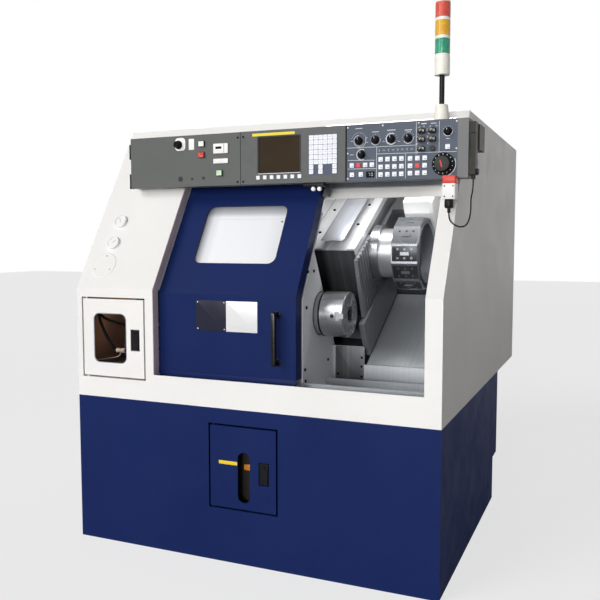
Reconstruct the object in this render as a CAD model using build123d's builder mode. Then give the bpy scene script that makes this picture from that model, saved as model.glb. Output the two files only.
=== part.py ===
from build123d import *

import os
from math import cos, radians, sin, tan

os.makedirs("parts", exist_ok=True)

# All lengths are in millimetres. X runs along the spindle, Y from the front to the back, Z up.
# The origin is on the floor, at the middle of the base. Depths are counted back from the front face.

# Overall form
machine_width = 1450
base_depth = 1180
base_height = 572
enclosure_depth = 1676
knee_height = 995
slant_front_height = 650
slant_angle = 31
sheet = 4
overrun = 20
running_gap = 0.05
slide_gap = 0.3

# Base cabinet
base_floor = 12
toe_height = 190
toe_depth = 100

# Hinged doors: the base door and the cabinet door share their pan, pivots and latch
base_door_left = -130
base_door_right = 136
base_door_bottom = 206
base_door_top = 508
cabinet_door_left = -695
cabinet_door_right = -415
cabinet_door_bottom = 655
cabinet_door_top = 955
door_gap = 7
door_rim = 20
flange_depth = 24
pivot_inset = 10
pivot_radius = 4
latch_width = 36
latch_height = 78
latch_thickness = 8
latch_gap = 2.5
latch_pin_drop = 6
latch_pin_depth = 5
latch_pin_radius = 2
latch_grip_rise = 3
latch_grip_drop = 20
latch_grip_inset = 3
lock_radius = 5.5
lock_drop = 12
cup_wall = 4
cup_depth = 16
base_latch_x = 88
base_latch_z = 346
cabinet_latch_x = -454
cabinet_latch_z = 801
slot_x = 8
slot_z = 324
slot_width = 50
slot_height = 186
cabinet_window_x = -570
cabinet_window_z = 804
cabinet_window_width = 150
cabinet_window_height = 190
cabinet_window_corner = 24
pane_overlap = 14
pane_thickness = 4

# Work opening in the front frame
opening_left = -373
opening_right = 667
sill_height = 674
header_above_knee = 338
reveal_depth = 36
sill_depth = 99

# Sliding door and its rails
door_recess = 43
door_thickness = 48
door_width = 568
door_bottom = 686
door_top_rise = 440
door_sheet = 3
door_window_left = -262
door_window_right = 80
door_window_low_rise = 100
door_window_high_rise = 317
door_window_corner = 30
door_pane_thickness = 5
handle_x = 124
handle_bottom = 737
handle_top = 928
handle_reach = 43
handle_radius = 6
handle_bend = 16
rail_lip = 22
rail_wall = 6
bottom_rail_width = 28

# Slant bed, in distances along the slope and above it
bed_angle = 30
bed_left = -360
bed_right = 684
bed_front_depth = 140
bed_rear_depth = 1050
bed_seat_height = 560
bed_step_depth = 411
bed_slope_level = 390
bed_wall = 40
way_level = 430
way_front = 1205
way_rear = 1450
way_width = 28
way_height = 24
way_inset = 40

# Headstock, spindle and chuck
spindle_depth = 275
spindle_height = 905
headstock_left = -300
headstock_right = 184
headstock_front_depth = 150
headstock_rear_depth = 405
headstock_shoulder_height = 890
headstock_top_height = 1040
headstock_top_depth = 300
headstock_chamfer = 40
headstock_bore = 85
guard_depth = 99
guard_right = 198
guard_back_along = 750
guard_tail_above = 400
guard_bottom = 602
guard_top_rise = 400
nose_clearance = 6
spindle_left = -600
cylinder_right = -430
cylinder_radius = 70
spindle_tail_radius = 50
rotor_left = -150
rotor_right = 30
rotor_radius = 60
journal_radius = 55
nose_radius = 78
chuck_rear = 219
chuck_face = 314
spindle_bore = 23
bearing_width = 56
bearing_inset = 14
stator_gap = 0.5
chuck_radius = 85
chuck_bore = 28
chuck_back_radius = 80
chuck_back_length = 4
chuck_edge = 3
jaw_count = 3
jaw_start_angle = 60
jaw_inner = 32
jaw_outer = 81
jaw_neck_width = 18
jaw_neck_depth = 14
jaw_base_width = 32
jaw_base_depth = 14
jaw_proud = 2
jaw_pitch = 6
jaw_tooth = 1.5
face_hole_radius = 4
face_hole_circle = 62
face_hole_depth = 20
face_hole_turn = 22

# Saddle, cross slide and turret, in the bed's slope
saddle_left = -50
saddle_right = 318
saddle_front = 848
saddle_top_above = 837
saddle_bottom_above = 412
saddle_wall = 32
cover_thickness = 26
cover_left = 100
channel_left = 203
channel_right = 284
channel_depth = 9
strip_width = 10
skirt_right = 340
skirt_front = 745
skirt_rear = 1190
skirt_top_above = 562
leaf_right = 332
leaf_front_top = 815
leaf_front_bottom = 785
leaf_rear = 1010
leaf_top_above = 805
leaf_bottom_above = 566
leaf_count = 7
leaf_groove = 7
leaf_groove_depth = 8
slide_way_front = 1015
slide_way_depth = 18
slide_way_low = 668
slide_way_high = 740
tongue_front = 1172
tongue_rear = 1400
arm_right = 350
arm_low = 640
arm_high = 780
turret_along = 1041
turret_above = 704
turret_flange_radius = 112
turret_flange_right = 365
turret_housing_radius = 97
turret_left = 431
turret_right = 537
turret_radius = 146
turret_stations = 12
turret_spigot_radius = 45
turret_spigot_length = 60
turret_face_gap = 0.5
turret_recess_radius = 118
turret_recess_depth = 46
turret_recess_taper = 24
turret_rim_edge = 4
station_hole_radius = 4
station_hole_depth = 14
station_hole_pitch = 27
station_hole_offset = 17
clamp_length = 34
clamp_width = 13
clamp_height = 3
cover_block_front = 1160
cover_block_knee = 1212
cover_block_rear = 1400
cover_block_low = 690
cover_block_mid = 818
cover_block_high = 870
cover_block_right = 545
bridge_low = 700
bridge_high = 790
bridge_front = 1250

# Work area guards
pan_height = 600
pan_front_depth = 99
plate_depth = 398
plate_top = 698
column_right = 330
column_top = 768
lower_plate_depth = 330
lower_plate_top = 650
slope_plate_above = 406
slope_plate_rear = 1188
right_wall_x = 690
back_wall_depth = 1062
wall_front_depth = 106

# Control panel
panel_left = -584
panel_right = 763
panel_above_knee = 394
panel_height = 196
panel_depth = 174
plate = 5
display_left = -86
display_right = 331
operator_right = 727
display_proud = 3
screen_left = -11
screen_right = 155
screen_low_rise = 39
screen_high_rise = 170
screen_corner = 4
screen_thickness = 3
key_proud = 3
keypad_columns = 6
keypad_rows = 8
keypad_empty = ((1, 0), (3, 0), (4, 0), (1, 1), (3, 1), (4, 1))
keypad_left = 192
keypad_right = 300
keypad_low_rise = 29
keypad_high_rise = 168
key_fill_share = 0.92
soft_key_count = 7
soft_key_rise = 24
soft_key = 14
soft_key_left = -13
soft_key_right = 155
plate_key = 15
knob_skirt_radius = 14
knob_skirt_height = 3
knob_radius = 10.5
knob_height = 18
knob_edge = 1.5
knob_pointer = 3
stem_radius = 3
power_knob_radius = 13
wheel_radius = 38
wheel_height = 9
wheel_grip_radius = 25
wheel_grip_height = 26
wheel_stem_radius = 6
wheel_edge = 2
button_width = 25
button_tall = 22
button_height = 9
button_stand = 3
button_stem_radius = 5
button_edge = 1
head_radius = 8
head_height = 14
cap_radius = 12
cap_height = 9
small_cap_radius = 6
small_cap_height = 5
lever_width = 5

panel_hinge_width = 7
panel_hinge_depth = 16

# Places on the operator plate and the power plate, as shares of their width and height
panel_hinge_shares = ((0.592, 0.872), (0.01, 0.265))
operator_knob_shares = {
    "mode_knob": (0.125, 0.71),
    "feed_knob": (0.278, 0.71),
    "rapid_knob": (0.421, 0.715),
    "spindle_knob": (0.573, 0.713),
    "jog_knob": (0.916, 0.79),
    "chuck_knob": (0.151, 0.465),
}
wheel_place_shares = (0.882, 0.24)
head_column_shares = (0.692, 0.785)
head_row_shares = (0.82, 0.675, 0.515)
key_block_shares = (
    (0.327, 0.515, 4, 0.10, 0.366, 3),
    (0.592, 0.720, 3, 0.105, 0.36, 3),
    (0.060, 0.247, 4, 0.28, 0.28, 1),
    (0.061, 0.145, 2, 0.115, 0.115, 1),
    (0.916, 0.916, 1, 0.532, 0.532, 1),
)
power_knob_shares = (0.451, 0.824)
power_button_shares = {
    "power_on_button": (0.662, 0.817),
    "stop_button": (0.661, 0.605),
    "start_button": (0.817, 0.241),
}
key_switch_shares = (0.563, 0.82)
cap_shares = ((0.464, 0.479), (0.464, 0.155))
small_cap_shares = ((0.567, 0.472), (0.567, 0.15), (0.667, 0.371), (0.667, 0.15))
socket_shares = (0.828, 0.71)
strip_shares = (0.828, 0.47)
socket_width = 62
socket_height = 36
socket_proud = 4
label_strip_height = 17

# Tower light
tower_x = 652
tower_depth = 260
tower_cone_radius = 30
tower_cone_top_radius = 21
tower_cone_height = 62
tower_pole_radius = 9
tower_pole_height = 101
tower_radius = 26
tower_body_height = 60
tower_ring_height = 10
tower_ring_radius = 25
tower_lens_height = 51
tower_cap_height = 4

# Gauges on the left slanted face
gauge_x = -621
gauge_high_rise = 258
gauge_low_rise = 173
gauge_radius = 27
gauge_height = 12
gauge_rim = 3
gauge_dial_drop = 3

# Inner units that show through the doors
hydraulic_left = -690
hydraulic_right = -410
hydraulic_front_depth = 60
hydraulic_rear_depth = 460
hydraulic_tank_top = 680
hydraulic_motor_radius = 62
hydraulic_motor_left = -660
hydraulic_motor_right = -470
hydraulic_pump_radius = 38
hydraulic_pump_right = -425
hydraulic_axis_lift = 70
hydraulic_axis_depth = 270
lubricator_width = 190
lubricator_front_depth = 40
lubricator_rear_depth = 130
lubricator_bottom = 226
lubricator_tank_top = 400
lubricator_top = 470
lubricator_pump_width = 120

# Connector blocks at the panel's right end, door switch and its cord
block_width = 22
block_front_depth = 178
block_rear_depth = 226
block_high_rise = 184
block_split_high_rise = 148
block_split_low_rise = 61
block_low_rise = 10
block_inset = 4
fin_block_front_depth = 234
fin_block_rear_depth = 330
fin_block_high_rise = 182
fin_block_low_rise = 97
fin_block_width = 26
gland_radius = 7
gland_height = 14
gland_depth = 205
gland_x = 775
button_knob_radius = 10
button_knob_height = 8
switch_left = 688
switch_right = 732
switch_front_depth = 122
switch_rear_depth = 168
switch_rise = 5
switch_head_drop = 21
switch_body_drop = 73
plug_x = 708
plug_depth = 140
plug_radius = 15
plug_drop = 104
relief_radius = 6
relief_drop = 117
bracket_width = 30
bracket_high_drop = 27
bracket_low_drop = 63
cord_bend_share = 0.45
cord_diameter = 5

# Route of the door switch's cord from the plug to the gland: across, depth and height
cord_route = (
    (708, 140, 1272),
    (708, 140, 1250),
    (726, 136, 1232),
    (746, 144, 1223.5),
    (763, 156, 1229),
    (772, 168, 1252),
    (773, 182, 1285),
    (770, 193, 1320),
    (775, 205, 1353),
    (775, 205, 1385),
)

# Rear cover
vent_columns = 2
vent_rows = 9
vent_width = 260
vent_height = 9
vent_pitch = 24
vent_spacing = 620
vent_centre_z = 1100

# Worked out from the sizes above
half_width = machine_width / 2
roof_height = knee_height + slant_front_height
header_height = knee_height + header_above_knee
door_window_bottom = knee_height + door_window_low_rise
door_window_top = knee_height + door_window_high_rise
gauge_high = knee_height + gauge_high_rise
gauge_low = knee_height + gauge_low_rise
panel_bottom = knee_height + panel_above_knee
panel_top = panel_bottom + panel_height
screen_bottom = panel_bottom + screen_low_rise
screen_top = panel_bottom + screen_high_rise
keypad_bottom = panel_bottom + keypad_low_rise
keypad_top = panel_bottom + keypad_high_rise
soft_key_z = panel_bottom + soft_key_rise
block_top = panel_bottom + block_high_rise
block_split_high = panel_bottom + block_split_high_rise
block_split_low = panel_bottom + block_split_low_rise
block_bottom = panel_bottom + block_low_rise
fin_block_top = panel_bottom + fin_block_high_rise
fin_block_bottom = panel_bottom + fin_block_low_rise
switch_top = panel_bottom + switch_rise
switch_head_bottom = panel_bottom - switch_head_drop
switch_body_bottom = panel_bottom - switch_body_drop
plug_bottom = panel_bottom - plug_drop
relief_bottom = panel_bottom - relief_drop
bracket_top = panel_bottom - bracket_high_drop
bracket_bottom = panel_bottom - bracket_low_drop
front_y = -base_depth / 2
base_rear_y = base_depth / 2
rear_y = front_y + enclosure_depth
slant_sin = sin(radians(slant_angle))
slant_cos = cos(radians(slant_angle))
bed_sin = sin(radians(bed_angle))
bed_cos = cos(radians(bed_angle))
spindle_y = front_y + spindle_depth
front_plane = Plane.XZ.offset(-front_y)
slant_plane = Plane(origin=(0, front_y, knee_height), x_dir=(1, 0, 0), z_dir=(0, -slant_cos, slant_sin))
slant_section = Plane(origin=(0, front_y, knee_height), x_dir=(0, slant_cos, -slant_sin), z_dir=(1, 0, 0))
bed_section = Plane(origin=(0, front_y, 0), x_dir=(0, bed_cos, bed_sin), z_dir=(1, 0, 0))
spindle_plane = Plane(origin=(0, spindle_y, spindle_height), x_dir=(1, 0, 0), z_dir=(0, -1, 0))
spindle_axis = Axis((0, spindle_y, spindle_height), (1, 0, 0))
panel_plane = Plane.XZ.offset(-front_y - panel_depth)
operator_left = display_right


def slant_rise(height, depth):
    """Distance up the slant of a point at a height, on the line that lies a depth behind the face."""
    return (height - knee_height + depth * slant_sin) / slant_cos


def slant_point(depth, rise):
    """Point of the side view, a depth behind the slanted face and a rise along it."""
    return (
        front_y + depth * slant_cos + rise * slant_sin,
        knee_height - depth * slant_sin + rise * slant_cos,
    )


def knee_point(depth):
    """Point of the side view where the front folds, a depth behind the face."""
    return (front_y + depth, knee_height - depth * tan(radians(slant_angle / 2)))


def bed_point(along, above):
    """Point of the side view given along and above the bed's slope."""
    return (front_y + along * bed_cos - above * bed_sin, along * bed_sin + above * bed_cos)


def plate_place(left, right, shares):
    """Point on the panel at shares of a plate's width and of the panel's height."""
    return (left + (right - left) * shares[0], panel_bottom + panel_height * shares[1])


def door_frame(left, right, bottom, top):
    """Folded flange round the hole of a hinged door, drilled for its two pivots."""
    width = right - left + 2 * door_gap
    height = top - bottom + 2 * door_gap
    with BuildPart() as ring:
        with BuildSketch(front_plane):
            with Locations(((left + right) / 2, (bottom + top) / 2)):
                Rectangle(width + 2 * sheet, height + 2 * sheet)
                Rectangle(width, height, mode=Mode.SUBTRACT)
        extrude(amount=-sheet - flange_depth)
        with BuildSketch(Plane.XY.offset(bottom - door_gap - sheet)):
            with Locations((left + pivot_inset, front_y + pivot_inset)):
                Circle(pivot_radius + running_gap)
        extrude(amount=height + 2 * sheet, mode=Mode.SUBTRACT)
    return ring


def hinged_door(left, right, bottom, top, latch_x, latch_z):
    """Folded door pan with its pivot pins and the cup of its flush latch."""
    width = right - left
    height = top - bottom
    centre = ((left + right) / 2, (bottom + top) / 2)
    pivot = (left + pivot_inset, front_y + pivot_inset)
    cup_width = latch_width + 2 * latch_gap
    cup_height = latch_height + 2 * latch_gap
    with BuildPart() as pan:
        with BuildSketch(front_plane):
            with Locations(centre):
                Rectangle(width, height)
        extrude(amount=-door_rim)
        with BuildSketch(front_plane.offset(-sheet)):
            with Locations(centre):
                Rectangle(width - 2 * sheet, height - 2 * sheet)
        extrude(amount=-door_rim, mode=Mode.SUBTRACT)
        with BuildSketch(Plane.XY.offset(top)):
            with Locations(pivot):
                Circle(pivot_radius)
        extrude(amount=door_gap + sheet)
        with BuildSketch(Plane.XY.offset(bottom)):
            with Locations(pivot):
                Circle(pivot_radius)
        extrude(amount=-door_gap - sheet)
        with BuildSketch(front_plane.offset(-sheet)):
            with Locations((latch_x, latch_z)):
                Rectangle(cup_width + 2 * cup_wall, cup_height + 2 * cup_wall)
        extrude(amount=-cup_depth)
        with BuildSketch(front_plane):
            with Locations((latch_x, latch_z)):
                Rectangle(cup_width, cup_height)
        extrude(amount=cup_wall - sheet - cup_depth, mode=Mode.SUBTRACT)
        with BuildSketch(Plane.YZ.offset(latch_x - cup_width / 2 - cup_wall)):
            with Locations((front_y + latch_pin_depth, latch_z + latch_height / 2 - latch_pin_drop)):
                Circle(latch_pin_radius + running_gap)
        extrude(amount=cup_width + 2 * cup_wall, mode=Mode.SUBTRACT)
    return pan


def latch_paddle(latch_x, latch_z):
    """Flush paddle that swings out about the pin along its upper edge."""
    pin_length = latch_width + 2 * latch_gap + 2 * cup_wall
    with BuildPart() as paddle:
        with BuildSketch(front_plane):
            with Locations((latch_x, latch_z)):
                Rectangle(latch_width, latch_height)
        extrude(amount=-latch_thickness)
        with BuildSketch(Plane.YZ.offset(latch_x - pin_length / 2)):
            with Locations((front_y + latch_pin_depth, latch_z + latch_height / 2 - latch_pin_drop)):
                Circle(latch_pin_radius)
        extrude(amount=pin_length)
        edges = paddle.faces().sort_by(Axis.Y)[0].edges()
        chamfer(edges, length=latch_pin_radius / 2)
        grip_height = latch_height - latch_grip_drop - latch_grip_inset
        with BuildSketch(front_plane):
            with Locations((latch_x, latch_z - (latch_grip_drop - latch_grip_inset) / 2)):
                Rectangle(latch_width - 2 * latch_grip_inset, grip_height)
            with Locations((latch_x, latch_z + latch_height / 2 - lock_drop)):
                Circle(lock_radius)
        extrude(amount=latch_grip_rise)
    return paddle


# Base cabinet: open-topped shell on a floor plate, stepped in at the back
with BuildPart() as base_cabinet:
    with BuildSketch(Plane.YZ.offset(-half_width)):
        with BuildLine():
            Polyline(
                (front_y, 0),
                (base_rear_y - toe_depth, 0),
                (base_rear_y - toe_depth, toe_height),
                (base_rear_y, toe_height),
                (base_rear_y, base_height),
                (front_y, base_height),
                close=True,
            )
        make_face()
    extrude(amount=machine_width)
    with BuildSketch(Plane.YZ.offset(sheet - half_width)):
        with BuildLine():
            Polyline(
                (front_y + sheet, base_floor),
                (base_rear_y - toe_depth - sheet, base_floor),
                (base_rear_y - toe_depth - sheet, toe_height + sheet),
                (base_rear_y - sheet, toe_height + sheet),
                (base_rear_y - sheet, base_height + overrun),
                (front_y + sheet, base_height + overrun),
                close=True,
            )
        make_face()
    extrude(amount=machine_width - 2 * sheet, mode=Mode.SUBTRACT)
    with BuildSketch(front_plane):
        with Locations(((base_door_left + base_door_right) / 2, (base_door_bottom + base_door_top) / 2)):
            Rectangle(
                base_door_right - base_door_left + 2 * door_gap,
                base_door_top - base_door_bottom + 2 * door_gap,
            )
    extrude(amount=-sheet, mode=Mode.SUBTRACT)
    add(door_frame(base_door_left, base_door_right, base_door_bottom, base_door_top).part)
base_cabinet.part.label = "base_cabinet"
export_step(base_cabinet.part, "parts/base_cabinet.step")

# Base door with the sight slot of the lubricator
base_pan = hinged_door(
    base_door_left, base_door_right, base_door_bottom, base_door_top, base_latch_x, base_latch_z
)
with BuildPart() as base_door:
    add(base_pan.part)
    with BuildSketch(front_plane):
        with Locations((slot_x, slot_z)):
            SlotOverall(slot_height, slot_width, rotation=90)
    extrude(amount=-sheet, mode=Mode.SUBTRACT)
base_door.part.label = "base_door"
export_step(base_door.part, "parts/base_door.step")

base_door_latch = latch_paddle(base_latch_x, base_latch_z)
base_door_latch.part.label = "base_door_latch"
export_step(base_door_latch.part, "parts/base_door_latch.step")

# Lubricator: oil tank with its pump head on top, standing on a foot on the base floor
with BuildPart() as lubricator:
    lubricator_depth = lubricator_rear_depth - lubricator_front_depth
    lubricator_y = front_y + (lubricator_front_depth + lubricator_rear_depth) / 2
    with BuildSketch(Plane.XY.offset(base_floor)):
        with Locations((slot_x, lubricator_y)):
            Rectangle(lubricator_pump_width, lubricator_depth)
    extrude(amount=lubricator_bottom - base_floor)
    with BuildSketch(Plane.XY.offset(lubricator_bottom)):
        with Locations((slot_x, lubricator_y)):
            Rectangle(lubricator_width, lubricator_depth)
    extrude(amount=lubricator_tank_top - lubricator_bottom)
    with BuildSketch(Plane.XY.offset(lubricator_tank_top)):
        with Locations((slot_x, lubricator_y)):
            Rectangle(lubricator_pump_width, lubricator_depth)
    extrude(amount=lubricator_top - lubricator_tank_top)
lubricator.part.label = "lubricator"
export_step(lubricator.part, "parts/lubricator.step")

# Front frame: one folded sheet with the work opening, its reveal and the cabinet opening
roof_front_y = slant_point(0, slant_rise(roof_height, 0))[0]
header_rise = slant_rise(header_height, 0)
with BuildPart() as front_frame:
    with BuildSketch(Plane.YZ.offset(-half_width)):
        with BuildLine():
            Polyline(
                (front_y, base_height),
                knee_point(0),
                (roof_front_y, roof_height),
                (roof_front_y + sheet / slant_cos, roof_height),
                knee_point(sheet),
                (front_y + sheet, base_height),
                close=True,
            )
        make_face()
    extrude(amount=machine_width)
    with BuildSketch(Plane.YZ.offset(opening_left)):
        with BuildLine():
            Polyline(
                (front_y - overrun, sill_height),
                knee_point(-overrun),
                slant_point(-overrun, header_rise),
                slant_point(overrun, header_rise),
                knee_point(overrun),
                (front_y + overrun, sill_height),
                close=True,
            )
        make_face()
    extrude(amount=opening_right - opening_left, mode=Mode.SUBTRACT)
    for jamb_x in (opening_left - sheet, opening_right):
        with BuildSketch(Plane.YZ.offset(jamb_x)):
            with BuildLine():
                Polyline(
                    (front_y, sill_height),
                    knee_point(0),
                    slant_point(0, header_rise),
                    slant_point(reveal_depth, header_rise),
                    knee_point(reveal_depth),
                    (front_y + reveal_depth, sill_height),
                    close=True,
                )
            make_face()
        extrude(amount=sheet)
    with BuildSketch(Plane.XY.offset(sill_height)):
        with Locations(((opening_left + opening_right) / 2, front_y + sill_depth / 2)):
            Rectangle(opening_right - opening_left + 2 * sheet, sill_depth)
    extrude(amount=-sheet)
    with BuildSketch(slant_section.offset(opening_left - sheet)):
        with Locations((reveal_depth / 2, header_rise + sheet / 2)):
            Rectangle(reveal_depth, sheet)
    extrude(amount=opening_right - opening_left + 2 * sheet)
    with BuildSketch(front_plane):
        cabinet_middle_x = (cabinet_door_left + cabinet_door_right) / 2
        cabinet_middle_z = (cabinet_door_bottom + cabinet_door_top) / 2
        with Locations((cabinet_middle_x, cabinet_middle_z)):
            Rectangle(
                cabinet_door_right - cabinet_door_left + 2 * door_gap,
                cabinet_door_top - cabinet_door_bottom + 2 * door_gap,
            )
    extrude(amount=-sheet, mode=Mode.SUBTRACT)
    add(door_frame(cabinet_door_left, cabinet_door_right, cabinet_door_bottom, cabinet_door_top).part)
front_frame.part.label = "front_frame"
export_step(front_frame.part, "parts/front_frame.step")

# Side panels: two flat sheets that close the ends behind the front frame
with BuildPart() as side_panels:
    for side_x in (-half_width, half_width - sheet):
        with BuildSketch(Plane.YZ.offset(side_x)):
            with BuildLine():
                Polyline(
                    (front_y + sheet, base_height),
                    knee_point(sheet),
                    slant_point(sheet, slant_rise(roof_height - sheet, sheet)),
                    (rear_y - sheet, roof_height - sheet),
                    (rear_y - sheet, base_height),
                    close=True,
                )
            make_face()
        extrude(amount=sheet)
side_panels.part.label = "side_panels"
export_step(side_panels.part, "parts/side_panels.step")

# Roof sheet behind the front frame's top edge
with BuildPart() as roof_panel:
    roof_start_y = roof_front_y + sheet / slant_cos
    with BuildSketch(Plane.XY.offset(roof_height - sheet)):
        with Locations((0, (roof_start_y + rear_y) / 2)):
            Rectangle(machine_width, rear_y - roof_start_y)
    extrude(amount=sheet)
roof_panel.part.label = "roof_panel"
export_step(roof_panel.part, "parts/roof_panel.step")

# Rear cover: back sheet with vent slots, folded forward under the overhang
with BuildPart() as rear_cover:
    with BuildSketch(Plane.XZ.offset(-rear_y)):
        with Locations((0, (base_height + roof_height - sheet) / 2)):
            Rectangle(machine_width, roof_height - sheet - base_height)
    extrude(amount=sheet)
    with BuildSketch(Plane.XY.offset(base_height)):
        with Locations((0, (base_rear_y + rear_y) / 2 - sheet)):
            Rectangle(machine_width - 2 * sheet, rear_y - base_rear_y)
    extrude(amount=sheet)
    with BuildSketch(Plane.XZ.offset(-rear_y)):
        with Locations((0, vent_centre_z)):
            with GridLocations(vent_spacing, vent_pitch, vent_columns, vent_rows):
                Rectangle(vent_width, vent_height)
    extrude(amount=sheet, mode=Mode.SUBTRACT)
rear_cover.part.label = "rear_cover"
export_step(rear_cover.part, "parts/rear_cover.step")

# Cabinet door, its window and its latch
cabinet_pan = hinged_door(
    cabinet_door_left,
    cabinet_door_right,
    cabinet_door_bottom,
    cabinet_door_top,
    cabinet_latch_x,
    cabinet_latch_z,
)
with BuildPart() as cabinet_door:
    add(cabinet_pan.part)
    with BuildSketch(front_plane):
        with Locations((cabinet_window_x, cabinet_window_z)):
            RectangleRounded(cabinet_window_width, cabinet_window_height, cabinet_window_corner)
    extrude(amount=-sheet, mode=Mode.SUBTRACT)
cabinet_door.part.label = "cabinet_door"
export_step(cabinet_door.part, "parts/cabinet_door.step")

with BuildPart() as cabinet_window:
    with BuildSketch(front_plane.offset(-sheet)):
        with Locations((cabinet_window_x, cabinet_window_z)):
            Rectangle(cabinet_window_width + 2 * pane_overlap, cabinet_window_height + 2 * pane_overlap)
    extrude(amount=-pane_thickness)
cabinet_window.part.label = "cabinet_window"
export_step(cabinet_window.part, "parts/cabinet_window.step")

cabinet_latch = latch_paddle(cabinet_latch_x, cabinet_latch_z)
cabinet_latch.part.label = "cabinet_latch"
export_step(cabinet_latch.part, "parts/cabinet_latch.step")

# Hydraulic unit: tank on the base floor with a motor and pump lying on top
with BuildPart() as hydraulic_unit:
    hydraulic_axis_z = hydraulic_tank_top + hydraulic_axis_lift
    with BuildSketch(Plane.XY.offset(base_floor)):
        with Locations(
            (
                (hydraulic_left + hydraulic_right) / 2,
                front_y + (hydraulic_front_depth + hydraulic_rear_depth) / 2,
            )
        ):
            Rectangle(hydraulic_right - hydraulic_left, hydraulic_rear_depth - hydraulic_front_depth)
    extrude(amount=hydraulic_tank_top - base_floor)
    offset(openings=hydraulic_unit.faces().sort_by(Axis.Z)[0], amount=-sheet)
    with BuildSketch(Plane.YZ.offset(hydraulic_motor_left)):
        with Locations((front_y + hydraulic_axis_depth, hydraulic_axis_z)):
            Circle(hydraulic_motor_radius)
        with Locations((front_y + hydraulic_axis_depth, hydraulic_tank_top + hydraulic_axis_lift / 2)):
            Rectangle(hydraulic_motor_radius, hydraulic_axis_lift)
    extrude(amount=hydraulic_motor_right - hydraulic_motor_left)
    with BuildSketch(Plane.YZ.offset(hydraulic_motor_right)):
        with Locations((front_y + hydraulic_axis_depth, hydraulic_axis_z)):
            Circle(hydraulic_pump_radius)
    extrude(amount=hydraulic_pump_right - hydraulic_motor_right)
hydraulic_unit.part.label = "hydraulic_unit"
export_step(hydraulic_unit.part, "parts/hydraulic_unit.step")

# Pressure gauges: round cases with a raised rim round a sunken dial
with BuildPart() as pressure_gauges:
    for gauge_z in (gauge_high, gauge_low):
        with BuildSketch(slant_plane):
            with Locations((gauge_x, slant_rise(gauge_z, 0))):
                Circle(gauge_radius)
        extrude(amount=gauge_height)
        with BuildSketch(slant_plane.offset(gauge_height)):
            with Locations((gauge_x, slant_rise(gauge_z, 0))):
                Circle(gauge_radius - gauge_rim)
        extrude(amount=-gauge_dial_drop, mode=Mode.SUBTRACT)
pressure_gauges.part.label = "pressure_gauges"
export_step(pressure_gauges.part, "parts/pressure_gauges.step")

# Sliding door: folded pan, open at the back, with the window in its slanted half
door_left = opening_left + running_gap
door_back = door_recess + door_thickness
with BuildPart() as sliding_door:
    with BuildSketch(Plane.YZ.offset(door_left)):
        with BuildLine():
            Polyline(
                (front_y + door_recess, door_bottom),
                knee_point(door_recess),
                slant_point(door_recess, door_top_rise),
                slant_point(door_back, door_top_rise),
                knee_point(door_back),
                (front_y + door_back, door_bottom),
                close=True,
            )
        make_face()
    extrude(amount=door_width)
    with BuildSketch(Plane.YZ.offset(door_left + door_sheet)):
        with BuildLine():
            Polyline(
                (front_y + door_recess + door_sheet, door_bottom + door_sheet),
                knee_point(door_recess + door_sheet),
                slant_point(door_recess + door_sheet, door_top_rise - door_sheet),
                slant_point(door_back + overrun, door_top_rise - door_sheet),
                knee_point(door_back + overrun),
                (front_y + door_back + overrun, door_bottom + door_sheet),
                close=True,
            )
        make_face()
    extrude(amount=door_width - 2 * door_sheet, mode=Mode.SUBTRACT)
    window_place = (
        (door_window_left + door_window_right) / 2,
        slant_rise((door_window_bottom + door_window_top) / 2, door_recess),
    )
    window_width = door_window_right - door_window_left
    window_rise = (door_window_top - door_window_bottom) / slant_cos
    with BuildSketch(slant_plane.offset(-door_recess)):
        with Locations(window_place):
            RectangleRounded(window_width, window_rise, door_window_corner)
    extrude(amount=-door_sheet, mode=Mode.SUBTRACT)
sliding_door.part.label = "sliding_door"
export_step(sliding_door.part, "parts/sliding_door.step")

with BuildPart() as door_window:
    with BuildSketch(slant_plane.offset(-door_recess - door_sheet)):
        with Locations(window_place):
            Rectangle(window_width + 2 * pane_overlap, window_rise + 2 * pane_overlap)
    extrude(amount=-door_pane_thickness)
door_window.part.label = "door_window"
export_step(door_window.part, "parts/door_window.step")

# Door handle: a round bar bent out at both ends
door_face_y = front_y + door_recess
with BuildPart() as door_handle:
    with BuildLine(Plane.YZ.offset(handle_x)):
        FilletPolyline(
            (door_face_y, handle_bottom + handle_radius),
            (door_face_y - handle_reach + handle_radius, handle_bottom + handle_radius),
            (door_face_y - handle_reach + handle_radius, handle_top - handle_radius),
            (door_face_y, handle_top - handle_radius),
            radius=handle_bend,
        )
    with BuildSketch(Plane.XZ.offset(-door_face_y)):
        with Locations((handle_x, handle_bottom + handle_radius)):
            Circle(handle_radius)
    sweep()
door_handle.part.label = "door_handle"
export_step(door_handle.part, "parts/door_handle.step")

# Door rails: a channel over the door's top edge and a guide bar under its foot
with BuildPart() as door_rails:
    channel_front = sheet
    channel_back = door_back + slide_gap + rail_wall
    lip_rise = door_top_rise - rail_lip
    web_rise = door_top_rise + slide_gap
    with BuildSketch(slant_section.offset(opening_left)):
        with BuildLine():
            Polyline(
                (channel_front, lip_rise),
                (door_recess - slide_gap, lip_rise),
                (door_recess - slide_gap, web_rise),
                (door_back + slide_gap, web_rise),
                (door_back + slide_gap, lip_rise),
                (channel_back, lip_rise),
                (channel_back, web_rise + rail_wall),
                (channel_front, web_rise + rail_wall),
                close=True,
            )
        make_face()
    extrude(amount=opening_right - opening_left)
    with BuildSketch(Plane.XY.offset(sill_height)):
        with Locations(((opening_left + opening_right) / 2, door_face_y + door_thickness / 2)):
            Rectangle(opening_right - opening_left, bottom_rail_width)
    extrude(amount=door_bottom - slide_gap - sill_height)
door_rails.part.label = "door_rails"
export_step(door_rails.part, "parts/door_rails.step")

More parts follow.
